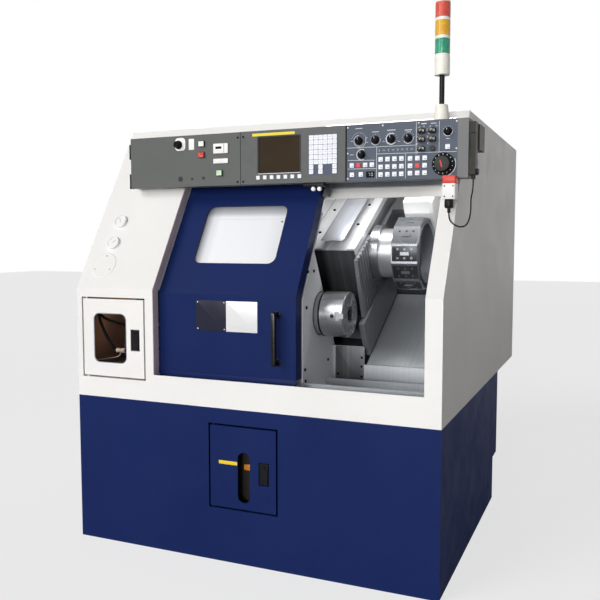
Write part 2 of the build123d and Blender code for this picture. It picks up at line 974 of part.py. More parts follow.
# Machine bed: slanted casting, hollow underneath, with two guide rails
with BuildPart() as machine_bed:
    with BuildSketch(Plane.YZ.offset(bed_left)):
        with BuildLine():
            Polyline(
                (front_y + bed_front_depth, base_floor),
                (front_y + bed_rear_depth, base_floor),
                (front_y + bed_rear_depth, bed_point(way_rear, way_level)[1]),
                bed_point(way_rear, way_level),
                bed_point(way_front, way_level),
                bed_point(way_front, bed_slope_level),
                (front_y + bed_step_depth, (bed_slope_level + bed_step_depth * bed_sin) / bed_cos),
                (front_y + bed_step_depth, bed_seat_height),
                (front_y + bed_front_depth, bed_seat_height),
                close=True,
            )
        make_face()
    extrude(amount=bed_right - bed_left)
    pocket_length = (bed_right - bed_left - 3 * bed_wall) / 2
    for pocket_x in (bed_left + bed_wall, bed_right - bed_wall - pocket_length):
        with BuildSketch(Plane.YZ.offset(pocket_x)):
            with BuildLine():
                Polyline(
                    (front_y + bed_front_depth + bed_wall, base_floor),
                    (front_y + bed_rear_depth - bed_wall, base_floor),
                    bed_point(way_rear - bed_wall, bed_slope_level - bed_wall),
                    (
                        front_y + bed_step_depth + bed_wall,
                        (bed_slope_level - bed_wall + (bed_step_depth + bed_wall) * bed_sin) / bed_cos,
                    ),
                    (front_y + bed_step_depth + bed_wall, bed_seat_height - bed_wall),
                    (front_y + bed_front_depth + bed_wall, bed_seat_height - bed_wall),
                    close=True,
                )
            make_face()
        extrude(amount=pocket_length, mode=Mode.SUBTRACT)
    for way_along in (way_front + way_inset, way_rear - way_inset):
        with BuildSketch(bed_section.offset(bed_left)):
            with Locations((way_along, way_level + way_height / 2)):
                Rectangle(way_width, way_height)
        extrude(amount=bed_right - bed_left)
machine_bed.part.label = "machine_bed"
export_step(machine_bed.part, "parts/machine_bed.step")

# Headstock casting with its spindle bore
with BuildPart() as headstock:
    with BuildSketch(Plane.YZ.offset(headstock_left)):
        with BuildLine():
            Polyline(
                (front_y + headstock_front_depth, bed_seat_height),
                (front_y + headstock_rear_depth, bed_seat_height),
                (front_y + headstock_rear_depth, headstock_shoulder_height),
                (front_y + headstock_top_depth, headstock_top_height),
                (front_y + headstock_front_depth + headstock_chamfer, headstock_top_height),
                (front_y + headstock_front_depth, headstock_top_height - headstock_chamfer),
                close=True,
            )
        make_face()
    extrude(amount=headstock_right - headstock_left)
    with BuildSketch(Plane.YZ.offset(headstock_left)):
        with Locations((spindle_y, spindle_height)):
            Circle(headstock_bore)
    extrude(amount=headstock_right - headstock_left, mode=Mode.SUBTRACT)
headstock.part.label = "headstock"
export_step(headstock.part, "parts/headstock.step")

# Headstock guard: a sheet behind the sliding door, folded back beside the chuck
with BuildPart() as headstock_guard:
    guard_left = opening_left - sheet
    guard_back = guard_depth + sheet
    with BuildSketch(Plane.YZ.offset(guard_left)):
        with BuildLine():
            Polyline(
                (front_y + guard_depth, guard_bottom),
                knee_point(guard_depth),
                slant_point(guard_depth, guard_top_rise),
                slant_point(guard_back, guard_top_rise),
                knee_point(guard_back),
                (front_y + guard_back, guard_bottom),
                close=True,
            )
        make_face()
    extrude(amount=guard_right - guard_left)
    tail_y, tail_z = bed_point(guard_back_along, guard_tail_above)
    apex_rise = (guard_back_along - knee_height * bed_sin - guard_depth * slant_cos * bed_cos
                 + guard_depth * slant_sin * bed_sin) / (slant_sin * bed_cos + slant_cos * bed_sin)
    with BuildSketch(Plane.YZ.offset(guard_right - sheet)):
        with BuildLine():
            Polyline(
                (front_y + guard_depth, guard_bottom),
                knee_point(guard_depth),
                slant_point(guard_depth, apex_rise),
                (tail_y, tail_z),
                (front_y + plate_depth, (guard_tail_above + plate_depth * bed_sin) / bed_cos),
                (front_y + plate_depth, guard_bottom),
                close=True,
            )
        make_face()
    extrude(amount=sheet)
    with BuildSketch(Plane.YZ.offset(guard_right - sheet)):
        with Locations((spindle_y, spindle_height)):
            Circle(nose_radius + nose_clearance)
    extrude(amount=sheet, mode=Mode.SUBTRACT)
headstock_guard.part.label = "headstock_guard"
export_step(headstock_guard.part, "parts/headstock_guard.step")

# Spindle: hollow shaft with its rotor, nose flange and the chuck cylinder on its tail
with BuildPart() as spindle:
    with BuildSketch(spindle_plane):
        with BuildLine():
            Polyline(
                (spindle_left, spindle_bore),
                (spindle_left, cylinder_radius),
                (cylinder_right, cylinder_radius),
                (cylinder_right, spindle_tail_radius),
                (rotor_left, spindle_tail_radius),
                (rotor_left, rotor_radius),
                (rotor_right, rotor_radius),
                (rotor_right, journal_radius),
                (headstock_right + slide_gap, journal_radius),
                (headstock_right + slide_gap, nose_radius),
                (chuck_rear, nose_radius),
                (chuck_rear, spindle_bore),
                close=True,
            )
        make_face()
    revolve(axis=spindle_axis)
spindle.part.label = "spindle"
export_step(spindle.part, "parts/spindle.step")

# Spindle bearings: one ring at each end of the headstock bore
with BuildPart() as spindle_bearings:
    for ring_left, seat_radius in (
        (headstock_left + bearing_inset, spindle_tail_radius),
        (headstock_right - bearing_inset - bearing_width, journal_radius),
    ):
        with BuildSketch(Plane.YZ.offset(ring_left)):
            with Locations((spindle_y, spindle_height)):
                Circle(headstock_bore - running_gap)
                Circle(seat_radius + running_gap, mode=Mode.SUBTRACT)
        extrude(amount=bearing_width)
spindle_bearings.part.label = "spindle_bearings"
export_step(spindle_bearings.part, "parts/spindle_bearings.step")

# Built-in spindle motor: the stator round the rotor
with BuildPart() as spindle_motor:
    with BuildSketch(Plane.YZ.offset(rotor_left)):
        with Locations((spindle_y, spindle_height)):
            Circle(headstock_bore - running_gap)
            Circle(rotor_radius + stator_gap, mode=Mode.SUBTRACT)
    extrude(amount=rotor_right - rotor_left)
spindle_motor.part.label = "spindle_motor"
export_step(spindle_motor.part, "parts/spindle_motor.step")

# Chuck body with three radial T slots, a through bore and tapped holes in its face
chuck_plane = Plane(origin=(chuck_face, spindle_y, spindle_height), x_dir=(0, 1, 0), z_dir=(1, 0, 0))
slot_reach = chuck_radius + overrun
with BuildPart() as chuck_body:
    with BuildSketch(spindle_plane):
        with BuildLine():
            Polyline(
                (chuck_rear, chuck_bore),
                (chuck_rear, chuck_back_radius),
                (chuck_rear + chuck_back_length, chuck_back_radius),
                (chuck_rear + chuck_back_length, chuck_radius),
                (chuck_face - chuck_edge, chuck_radius),
                (chuck_face, chuck_radius - chuck_edge),
                (chuck_face, chuck_bore),
                close=True,
            )
        make_face()
    revolve(axis=spindle_axis)
    with BuildSketch(chuck_plane):
        with PolarLocations(slot_reach / 2, jaw_count, start_angle=jaw_start_angle):
            Rectangle(slot_reach, jaw_neck_width + 2 * slide_gap)
    extrude(amount=-jaw_neck_depth - slide_gap, mode=Mode.SUBTRACT)
    with BuildSketch(chuck_plane.offset(-jaw_neck_depth + slide_gap)):
        with PolarLocations(slot_reach / 2, jaw_count, start_angle=jaw_start_angle):
            Rectangle(slot_reach, jaw_base_width + 2 * slide_gap)
    extrude(amount=-jaw_base_depth - 2 * slide_gap, mode=Mode.SUBTRACT)
    with BuildSketch(chuck_plane):
        for hole_turn in (-face_hole_turn, face_hole_turn):
            hole_angle = jaw_start_angle + 180 / jaw_count + hole_turn
            with PolarLocations(face_hole_circle, jaw_count, start_angle=hole_angle):
                Circle(face_hole_radius)
    extrude(amount=-face_hole_depth, mode=Mode.SUBTRACT)
chuck_body.part.label = "chuck_body"
export_step(chuck_body.part, "parts/chuck_body.step")

# Chuck jaws: T-shaped master jaws with a serrated face
jaw_length = jaw_outer - jaw_inner
jaw_middle = (jaw_outer + jaw_inner) / 2
for jaw_number in range(jaw_count):
    jaw_angle = jaw_start_angle + jaw_number * 360 / jaw_count
    with BuildPart() as chuck_jaw:
        with BuildSketch(chuck_plane.offset(jaw_proud)):
            with PolarLocations(jaw_middle, 1, start_angle=jaw_angle):
                Rectangle(jaw_length, jaw_neck_width)
        extrude(amount=-jaw_proud - jaw_neck_depth)
        with BuildSketch(chuck_plane.offset(-jaw_neck_depth)):
            with PolarLocations(jaw_middle, 1, start_angle=jaw_angle):
                Rectangle(jaw_length, jaw_base_width)
        extrude(amount=-jaw_base_depth)
        with BuildSketch(chuck_plane.offset(jaw_proud)):
            for groove in range(round(jaw_length / jaw_pitch)):
                groove_radius = jaw_inner + (groove + 1 / 2) * jaw_pitch
                with PolarLocations(groove_radius, 1, start_angle=jaw_angle):
                    Rectangle(jaw_pitch / 2, jaw_neck_width)
        extrude(amount=-jaw_tooth, mode=Mode.SUBTRACT)
    chuck_jaw.part.label = f"chuck_jaw_{jaw_number + 1}"
    export_step(chuck_jaw.part, f"parts/chuck_jaw_{jaw_number + 1}.step")

# Saddle: block on the guide rails, with a skirt and a stack of cover leaves on its right side
with BuildPart() as saddle:
    block_above = saddle_top_above - cover_thickness
    with BuildSketch(bed_section.offset(saddle_left)):
        with BuildLine():
            Polyline(
                (saddle_front, saddle_bottom_above),
                (saddle_front, block_above),
                (way_rear, block_above),
                (way_rear, way_level + slide_gap),
                (way_front - way_inset / 2, way_level + slide_gap),
                (way_front - way_inset / 2, saddle_bottom_above),
                close=True,
            )
        make_face()
    extrude(amount=saddle_right - saddle_left)
    for way_along in (way_front + way_inset, way_rear - way_inset):
        with BuildSketch(bed_section.offset(saddle_left)):
            with Locations((way_along, way_level + (way_height + slide_gap) / 2)):
                Rectangle(way_width + 2 * slide_gap, way_height + slide_gap)
        extrude(amount=saddle_right - saddle_left, mode=Mode.SUBTRACT)
    pocket_low = way_level + way_height + saddle_wall
    with BuildSketch(bed_section.offset(saddle_left)):
        with Locations(((saddle_front + way_rear) / 2, (pocket_low + block_above - saddle_wall) / 2)):
            Rectangle(way_rear - saddle_front - 2 * saddle_wall, block_above - saddle_wall - pocket_low)
    extrude(amount=saddle_right - saddle_left - slide_way_depth - saddle_wall, mode=Mode.SUBTRACT)
    with BuildSketch(bed_section.offset(saddle_right)):
        with BuildLine():
            Polyline(
                (leaf_front_bottom, leaf_bottom_above),
                (leaf_front_top, leaf_top_above),
                (leaf_rear, leaf_top_above),
                (leaf_rear, leaf_bottom_above),
                close=True,
            )
        make_face()
    extrude(amount=leaf_right - saddle_right)
    leaf_pitch = (leaf_rear - leaf_front_top) / leaf_count
    with BuildSketch(bed_section.offset(leaf_right)):
        for leaf in range(leaf_count):
            leaf_along = leaf_front_top + (leaf + 1 / 2) * leaf_pitch
            with Locations((leaf_along, (leaf_top_above + leaf_bottom_above) / 2)):
                Rectangle(leaf_groove, leaf_top_above - leaf_bottom_above)
    extrude(amount=-leaf_groove_depth, mode=Mode.SUBTRACT)
    with BuildSketch(bed_section.offset(saddle_right)):
        with BuildLine():
            Polyline(
                (skirt_front, skirt_top_above),
                (skirt_rear, skirt_top_above),
                (skirt_rear, saddle_bottom_above),
                (skirt_front, saddle_bottom_above),
                close=True,
            )
        make_face()
    extrude(amount=skirt_right - saddle_right)
    with BuildSketch(bed_section.offset(saddle_right)):
        with Locations(((slide_way_front + way_rear) / 2, (slide_way_low + slide_way_high) / 2)):
            Rectangle(way_rear - slide_way_front, slide_way_high - slide_way_low)
    extrude(amount=-slide_way_depth, mode=Mode.SUBTRACT)
saddle.part.label = "saddle"
export_step(saddle.part, "parts/saddle.step")

# Saddle guard: bright top cover with a sunken channel and two raised strips
with BuildPart() as saddle_guard:
    cover_middle = (saddle_front + way_rear) / 2
    cover_length = way_rear - saddle_front
    top_plane = Plane(origin=(0, front_y, 0), x_dir=(1, 0, 0), z_dir=(0, -bed_sin, bed_cos))
    with BuildSketch(top_plane.offset(saddle_top_above - cover_thickness)):
        with Locations(((saddle_left + saddle_right) / 2, cover_middle)):
            Rectangle(saddle_right - saddle_left, cover_length)
    extrude(amount=cover_thickness - sheet)
    with BuildSketch(top_plane.offset(saddle_top_above - sheet)):
        with Locations(((cover_left + saddle_right) / 2, cover_middle)):
            Rectangle(saddle_right - cover_left, cover_length)
    extrude(amount=sheet)
    with BuildSketch(top_plane.offset(saddle_top_above)):
        with Locations(((channel_left + channel_right) / 2, cover_middle)):
            Rectangle(channel_right - channel_left, cover_length)
    extrude(amount=-channel_depth, mode=Mode.SUBTRACT)
    with BuildSketch(top_plane.offset(saddle_top_above)):
        for strip_x in (channel_left - strip_width, channel_right + strip_width):
            with Locations((strip_x, cover_middle)):
                Rectangle(strip_width, cover_length)
    extrude(amount=-sheet / 2, mode=Mode.SUBTRACT)
saddle_guard.part.label = "saddle_guard"
export_step(saddle_guard.part, "parts/saddle_guard.step")

# Cross slide: round flange for the turret on an arm whose tongue runs in the saddle's side way
with BuildPart() as cross_slide:
    with BuildSketch(bed_section.offset(leaf_right + slide_gap)):
        with Locations((turret_along, turret_above)):
            Circle(turret_flange_radius)
    extrude(amount=turret_flange_right - leaf_right - slide_gap)
    with BuildSketch(bed_section.offset(leaf_right + slide_gap)):
        with Locations(((turret_along + tongue_rear) / 2, (arm_low + arm_high) / 2)):
            Rectangle(tongue_rear - turret_along, arm_high - arm_low)
    extrude(amount=arm_right - leaf_right - slide_gap)
    with BuildSketch(bed_section.offset(saddle_right - slide_way_depth + slide_gap)):
        with Locations(((tongue_front + tongue_rear) / 2, (slide_way_low + slide_way_high) / 2)):
            Rectangle(tongue_rear - tongue_front, slide_way_high - slide_way_low - 2 * slide_gap)
    extrude(amount=arm_right - saddle_right + slide_way_depth - slide_gap)
    with BuildSketch(bed_section.offset(arm_right)):
        with Locations(((bridge_front + tongue_rear) / 2, (bridge_low + bridge_high) / 2)):
            Rectangle(tongue_rear - bridge_front, bridge_high - bridge_low)
    extrude(amount=turret_left - arm_right)
cross_slide.part.label = "cross_slide"
export_step(cross_slide.part, "parts/cross_slide.step")

# Turret housing with the spigot that carries the drum
with BuildPart() as turret_housing:
    with BuildSketch(bed_section.offset(turret_flange_right)):
        with Locations((turret_along, turret_above)):
            Circle(turret_housing_radius)
    extrude(amount=turret_left - turret_flange_right - turret_face_gap)
    with BuildSketch(bed_section.offset(turret_left - turret_face_gap)):
        with Locations((turret_along, turret_above)):
            Circle(turret_spigot_radius)
    extrude(amount=turret_spigot_length)
turret_housing.part.label = "turret_housing"
export_step(turret_housing.part, "parts/turret_housing.step")

# Turret drum: twelve flats with tapped holes and clamp blocks, dished on its open face
turret_y, turret_z = bed_point(turret_along, turret_above)
drum_plane = Plane(origin=(turret_left, turret_y, turret_z), x_dir=(0, 1, 0), z_dir=(1, 0, 0))
drum_length = turret_right - turret_left
flat_distance = turret_radius * cos(radians(180 / turret_stations))
with BuildPart() as turret_drum:
    with BuildSketch(drum_plane):
        RegularPolygon(turret_radius, turret_stations, rotation=180 / turret_stations)
    extrude(amount=drum_length)
    chamfer(turret_drum.faces().sort_by(Axis.X)[-1].edges(), length=turret_rim_edge)
    with BuildSketch(drum_plane.offset(drum_length)):
        Circle(turret_recess_radius)
    extrude(amount=-turret_recess_depth, taper=turret_recess_taper, mode=Mode.SUBTRACT)
    with BuildSketch(drum_plane):
        Circle(turret_spigot_radius + running_gap)
    extrude(amount=turret_spigot_length, mode=Mode.SUBTRACT)
    for station in range(turret_stations):
        station_angle = radians(station * 360 / turret_stations)
        station_plane = Plane(
            origin=(
                (turret_left + turret_right) / 2,
                turret_y + flat_distance * cos(station_angle),
                turret_z + flat_distance * sin(station_angle),
            ),
            x_dir=(1, 0, 0),
            z_dir=(0, cos(station_angle), sin(station_angle)),
        )
        with BuildSketch(station_plane):
            Rectangle(clamp_length, clamp_width)
        extrude(amount=clamp_height)
        with BuildSketch(station_plane):
            with Locations((0, station_hole_offset)):
                with GridLocations(station_hole_pitch, station_hole_pitch, 3, 1):
                    RegularPolygon(station_hole_radius, 6)
        extrude(amount=-station_hole_depth, mode=Mode.SUBTRACT)
turret_drum.part.label = "turret_drum"
export_step(turret_drum.part, "parts/turret_drum.step")

# Turret cover: white housing over the indexing drive, above and behind the drum
with BuildPart() as turret_cover:
    with BuildSketch(bed_section.offset(turret_left)):
        with BuildLine():
            Polyline(
                (cover_block_knee, cover_block_low),
                (cover_block_rear, cover_block_low),
                (cover_block_rear, cover_block_high),
                (cover_block_front, cover_block_high),
                (cover_block_front, cover_block_mid),
                close=True,
            )
        make_face()
    extrude(amount=cover_block_right - turret_left)
    cover_rim = turret_cover.faces().sort_by(Axis.X)[-1].edges()
    chamfer(cover_rim, length=strip_width)
turret_cover.part.label = "turret_cover"
export_step(turret_cover.part, "parts/turret_cover.step")

# Work area guards: flat sheets fastened edge to edge round the pan and the slides
with BuildPart() as chip_guards:
    guard_start = guard_right + slide_gap
    guard_end = right_wall_x - sheet - slide_gap
    with BuildSketch(Plane.YZ.offset(guard_start)):
        with Locations((front_y + (pan_front_depth + plate_depth) / 2, pan_height - sheet / 2)):
            Rectangle(plate_depth - pan_front_depth - 2 * slide_gap, sheet)
    extrude(amount=guard_end - guard_start)
    riser_top = sill_height - sheet - slide_gap
    with BuildSketch(Plane.YZ.offset(guard_start)):
        with Locations((front_y + pan_front_depth - sheet / 2, (pan_height - sheet + riser_top) / 2)):
            Rectangle(sheet, riser_top - pan_height + sheet)
    extrude(amount=guard_end - guard_start)
    with BuildSketch(Plane.XZ.offset(-front_y - plate_depth)):
        with BuildLine():
            Polyline(
                (guard_start, pan_height - sheet),
                (guard_end, pan_height - sheet),
                (guard_end, plate_top),
                (column_right, plate_top),
                (column_right, column_top),
                (guard_start, column_top),
                close=True,
            )
        make_face()
    extrude(amount=-sheet)
    lower_plate_bottom = pan_height + slide_gap
    with BuildSketch(Plane.XZ.offset(-front_y - lower_plate_depth)):
        with Locations(((guard_start + guard_end) / 2, (lower_plate_bottom + lower_plate_top) / 2)):
            Rectangle(guard_end - guard_start, lower_plate_top - lower_plate_bottom)
    extrude(amount=sheet)
    slope_front = plate_top * bed_sin + (plate_depth + sheet) * bed_cos + 2 * slide_gap
    with BuildSketch(bed_section.offset(skirt_right + slide_gap)):
        with Locations(((slope_front + slope_plate_rear) / 2, slope_plate_above - sheet / 2)):
            Rectangle(slope_plate_rear - slope_front, sheet)
    extrude(amount=guard_end - skirt_right - slide_gap)
    wall_top = slant_point(wall_front_depth, door_top_rise)
    wall_back_y = front_y + back_wall_depth - slide_gap
    with BuildSketch(Plane.YZ.offset(right_wall_x - sheet)):
        with BuildLine():
            Polyline(
                (front_y + wall_front_depth, pan_height - sheet),
                knee_point(wall_front_depth),
                wall_top,
                (wall_back_y, wall_top[1]),
                (wall_back_y, pan_height - sheet),
                close=True,
            )
        make_face()
    extrude(amount=sheet)
    with BuildSketch(Plane.XZ.offset(-front_y - back_wall_depth)):
        with Locations(((opening_left + right_wall_x) / 2, (base_height + roof_height - sheet) / 2)):
            Rectangle(right_wall_x - opening_left, roof_height - sheet - base_height)
    extrude(amount=-sheet)
chip_guards.part.label = "chip_guards"
export_step(chip_guards.part, "parts/chip_guards.step")

# Panel box: wedge-shaped tray behind the control plates, closed at its right end
panel_back_plane = Plane.YZ.offset(panel_left)
panel_y = front_y + panel_depth
with BuildPart() as panel_box:
    with BuildSketch(panel_back_plane):
        with BuildLine():
            Polyline(
                (panel_y + plate, panel_bottom),
                (panel_y + plate, panel_top),
                slant_point(0, slant_rise(panel_top, 0)),
                slant_point(0, slant_rise(panel_bottom, 0)),
                close=True,
            )
        make_face()
    extrude(amount=panel_right - panel_left)
    with BuildSketch(Plane.YZ.offset(panel_left + sheet)):
        with BuildLine():
            Polyline(
                (panel_y, panel_bottom + sheet),
                (panel_y, panel_top - sheet),
                slant_point(-sheet, slant_rise(panel_top - sheet, -sheet)),
                slant_point(-sheet, slant_rise(panel_bottom + sheet, -sheet)),
                close=True,
            )
        make_face()
    extrude(amount=operator_right - panel_left - 2 * sheet, mode=Mode.SUBTRACT)
    with BuildSketch(panel_plane):
        with Locations(((operator_right + panel_right) / 2, (panel_bottom + panel_top) / 2)):
            Rectangle(panel_right - operator_right, panel_height)
    extrude(amount=-plate)
    with BuildSketch(panel_back_plane):
        for low_share, high_share in panel_hinge_shares:
            hinge_middle = panel_bottom + panel_height * (low_share + high_share) / 2
            with Locations((panel_y + plate + panel_hinge_depth / 2, hinge_middle)):
                Rectangle(panel_hinge_depth, panel_height * (high_share - low_share))
    extrude(amount=-panel_hinge_width)
panel_box.part.label = "panel_box"
export_step(panel_box.part, "parts/panel_box.step")

# Power plate: left third of the panel, with a socket cover and a plain strip
with BuildPart() as power_plate:
    with BuildSketch(panel_plane):
        with Locations(((panel_left + display_left) / 2, (panel_bottom + panel_top) / 2)):
            Rectangle(display_left - panel_left, panel_height)
    extrude(amount=-plate)
    with BuildSketch(panel_plane):
        with Locations(plate_place(panel_left, display_left, socket_shares)):
            Rectangle(socket_width, socket_height)
        with Locations(plate_place(panel_left, display_left, strip_shares)):
            Rectangle(socket_width, label_strip_height)
    extrude(amount=socket_proud)
    with BuildSketch(panel_plane):
        with Locations(plate_place(panel_left, display_left, power_knob_shares)):
            Circle(stem_radius + running_gap)
        for shares in power_button_shares.values():
            with Locations(plate_place(panel_left, display_left, shares)):
                Circle(button_stem_radius + running_gap)
    extrude(amount=-plate, mode=Mode.SUBTRACT)
power_plate.part.label = "power_plate"
export_step(power_plate.part, "parts/power_plate.step")

# Display unit: framed plate with the screen opening
with BuildPart() as display_unit:
    with BuildSketch(panel_plane.offset(display_proud)):
        with Locations(((display_left + display_right) / 2, (panel_bottom + panel_top) / 2)):
            Rectangle(display_right - display_left, panel_height)
    extrude(amount=-display_proud - plate)
    with BuildSketch(panel_plane.offset(display_proud)):
        with Locations(((screen_left + screen_right) / 2, (screen_bottom + screen_top) / 2)):
            RectangleRounded(screen_right - screen_left, screen_top - screen_bottom, screen_corner)
    extrude(amount=-display_proud - plate + screen_thickness, mode=Mode.SUBTRACT)
display_unit.part.label = "display_unit"
export_step(display_unit.part, "parts/display_unit.step")

with BuildPart() as display_screen:
    with BuildSketch(panel_plane.offset(screen_thickness - plate)):
        with Locations(((screen_left + screen_right) / 2, (screen_bottom + screen_top) / 2)):
            RectangleRounded(
                screen_right - screen_left - 2 * slide_gap,
                screen_top - screen_bottom - 2 * slide_gap,
                screen_corner,
            )
    extrude(amount=screen_thickness)
display_screen.part.label = "display_screen"
export_step(display_screen.part, "parts/display_screen.step")

# Operator plate with its knob and handwheel holes
with BuildPart() as operator_plate:
    with BuildSketch(panel_plane):
        with Locations(((operator_left + operator_right) / 2, (panel_bottom + panel_top) / 2)):
            Rectangle(operator_right - operator_left, panel_height)
    extrude(amount=-plate)
    with BuildSketch(panel_plane):
        for shares in operator_knob_shares.values():
            with Locations(plate_place(operator_left, operator_right, shares)):
                Circle(stem_radius + running_gap)
        with Locations(plate_place(operator_left, operator_right, wheel_place_shares)):
            Circle(wheel_stem_radius + running_gap)
    extrude(amount=-plate, mode=Mode.SUBTRACT)
operator_plate.part.label = "operator_plate"
export_step(operator_plate.part, "parts/operator_plate.step")

# Keys: soft keys and keypad on the display unit, key blocks on the operator plate
with BuildPart() as panel_keys:
    keypad_pitch_x = (keypad_right - keypad_left) / keypad_columns
    keypad_pitch_z = (keypad_top - keypad_bottom) / keypad_rows
    soft_key_pitch = (soft_key_right - soft_key_left) / (soft_key_count - 1)
    with BuildSketch(panel_plane.offset(display_proud)):
        for column in range(keypad_columns):
            for row in range(keypad_rows):
                if (column, row) in keypad_empty:
                    continue
                key_x = keypad_left + (column + 1 / 2) * keypad_pitch_x
                key_z = keypad_bottom + (row + 1 / 2) * keypad_pitch_z
                with Locations((key_x, key_z)):
                    Rectangle(keypad_pitch_x * key_fill_share, keypad_pitch_z * key_fill_share)
        with Locations(((soft_key_left + soft_key_right) / 2, soft_key_z)):
            with GridLocations(soft_key_pitch, soft_key, soft_key_count, 1):
                Rectangle(soft_key, soft_key)
    extrude(amount=key_proud)
    with BuildSketch(panel_plane):
        for left_share, right_share, columns, low_share, high_share, rows in key_block_shares:
            for column in range(columns):
                for row in range(rows):
                    column_share = column / max(columns - 1, 1)
                    row_share = row / max(rows - 1, 1)
                    shares = (
                        left_share + (right_share - left_share) * column_share,
                        low_share + (high_share - low_share) * row_share,
                    )
                    with Locations(plate_place(operator_left, operator_right, shares)):
                        Rectangle(plate_key, plate_key)
    extrude(amount=key_proud)
panel_keys.part.label = "panel_keys"
export_step(panel_keys.part, "parts/panel_keys.step")

# Selector switches and caps that sit on the plates
with BuildPart() as selector_switches:
    with BuildSketch(panel_plane):
        for column_share in head_column_shares:
            for row_share in head_row_shares:
                with Locations(plate_place(operator_left, operator_right, (column_share, row_share))):
                    RegularPolygon(head_radius, 12)
        with Locations(plate_place(panel_left, display_left, key_switch_shares)):
            RegularPolygon(head_radius, 12)
    extrude(amount=head_height / 2)
    with BuildSketch(panel_plane.offset(head_height / 2)):
        for column_share in head_column_shares:
            for row_share in head_row_shares:
                with Locations(plate_place(operator_left, operator_right, (column_share, row_share))):
                    Rectangle(lever_width, 2 * head_radius - lever_width)
        with Locations(plate_place(panel_left, display_left, key_switch_shares)):
            Rectangle(lever_width, 2 * head_radius - lever_width)
    extrude(amount=head_height / 2)
    with BuildSketch(panel_plane):
        for shares in cap_shares:
            with Locations(plate_place(panel_left, display_left, shares)):
                RegularPolygon(cap_radius, 16)
    extrude(amount=cap_height)
    with BuildSketch(panel_plane):
        for shares in small_cap_shares:
            with Locations(plate_place(panel_left, display_left, shares)):
                RegularPolygon(small_cap_radius, 12)
    extrude(amount=small_cap_height)
selector_switches.part.label = "selector_switches"
export_step(selector_switches.part, "parts/selector_switches.step")


def turning_knob(place, grip_radius):
    """Knob with a skirt, a pointer ridge and a stem that turns in the plate."""
    with BuildPart() as knob:
        with BuildSketch(panel_plane.offset(slide_gap)):
            with Locations(place):
                Circle(grip_radius + knob_skirt_radius - knob_radius)
        extrude(amount=knob_skirt_height)
        with BuildSketch(panel_plane.offset(slide_gap + knob_skirt_height)):
            with Locations(place):
                Circle(grip_radius)
        extrude(amount=knob_height - knob_skirt_height)
        chamfer(knob.faces().sort_by(Axis.Y)[0].edges(), length=knob_edge)
        with BuildSketch(panel_plane.offset(slide_gap + knob_height)):
            with Locations((place[0], place[1] + grip_radius / 2 - knob_edge)):
                Rectangle(knob_pointer, grip_radius - knob_pointer)
        extrude(amount=knob_pointer / 2)
        with BuildSketch(panel_plane.offset(slide_gap)):
            with Locations(place):
                Circle(stem_radius)
        extrude(amount=-slide_gap - plate)
    return knob


# Override knobs on the operator plate and the power knob on the left plate
for knob_name, shares in operator_knob_shares.items():
    override_knob = turning_knob(plate_place(operator_left, operator_right, shares), knob_radius)
    override_knob.part.label = knob_name
    export_step(override_knob.part, f"parts/{knob_name}.step")

power_knob = turning_knob(plate_place(panel_left, display_left, power_knob_shares), power_knob_radius)
power_knob.part.label = "power_knob"
export_step(power_knob.part, "parts/power_knob.step")

# Handwheel: graduated dial with a grip in its middle
wheel_place = plate_place(operator_left, operator_right, wheel_place_shares)
with BuildPart() as handwheel:
    with BuildSketch(panel_plane.offset(slide_gap)):
        with Locations(wheel_place):
            Circle(wheel_radius)
    extrude(amount=wheel_height)
    chamfer(handwheel.faces().sort_by(Axis.Y)[0].edges(), length=wheel_edge)
    with BuildSketch(panel_plane.offset(slide_gap + wheel_height)):
        with Locations(wheel_place):
            Circle(wheel_grip_radius)
    extrude(amount=wheel_grip_height - wheel_height)
    chamfer(handwheel.faces().sort_by(Axis.Y)[0].edges(), length=wheel_edge)
    with BuildSketch(panel_plane.offset(slide_gap)):
        with Locations(wheel_place):
            Circle(wheel_stem_radius)
    extrude(amount=-slide_gap - plate)
handwheel.part.label = "handwheel"
export_step(handwheel.part, "parts/handwheel.step")

# Push buttons with a stem that slides in the plate
for button_name, shares in power_button_shares.items():
    button_place = plate_place(panel_left, display_left, shares)
    with BuildPart() as push_button:
        with BuildSketch(panel_plane.offset(button_stand)):
            with Locations(button_place):
                Rectangle(button_width, button_tall)
        extrude(amount=button_height - button_stand)
        chamfer(push_button.faces().sort_by(Axis.Y)[0].edges(), length=button_edge)
        with BuildSketch(panel_plane.offset(button_stand)):
            with Locations(button_place):
                Circle(button_stem_radius)
        extrude(amount=-button_stand - plate)
    push_button.part.label = button_name
    export_step(push_button.part, f"parts/{button_name}.step")

# Tower light: cone foot on the panel box, pole, body and three lenses between rings
tower_y = front_y + tower_depth
tower_pole_bottom = panel_top + tower_cone_height
tower_body_bottom = tower_pole_bottom + tower_pole_height
tower_stack_bottom = tower_body_bottom + tower_body_height
tower_step = tower_ring_height + tower_lens_height
tower_plane = Plane(origin=(tower_x, tower_y, 0), x_dir=(1, 0, 0), z_dir=(0, 0, 1))
with BuildPart() as tower_housing:
    with BuildSketch(tower_plane.offset(panel_top)):
        Circle(tower_cone_radius)
    with BuildSketch(tower_plane.offset(tower_pole_bottom)):
        Circle(tower_cone_top_radius)
    loft()
    with BuildSketch(tower_plane.offset(tower_body_bottom)):
        Circle(tower_radius)
    extrude(amount=tower_body_height)
    for ring in range(3):
        with BuildSketch(tower_plane.offset(tower_stack_bottom + ring * tower_step)):
            Circle(tower_ring_radius)
        extrude(amount=tower_ring_height)
    with BuildSketch(tower_plane.offset(tower_stack_bottom + 3 * tower_step)):
        Circle(tower_ring_radius)
    extrude(amount=tower_cap_height)
tower_housing.part.label = "tower_housing"
export_step(tower_housing.part, "parts/tower_housing.step")

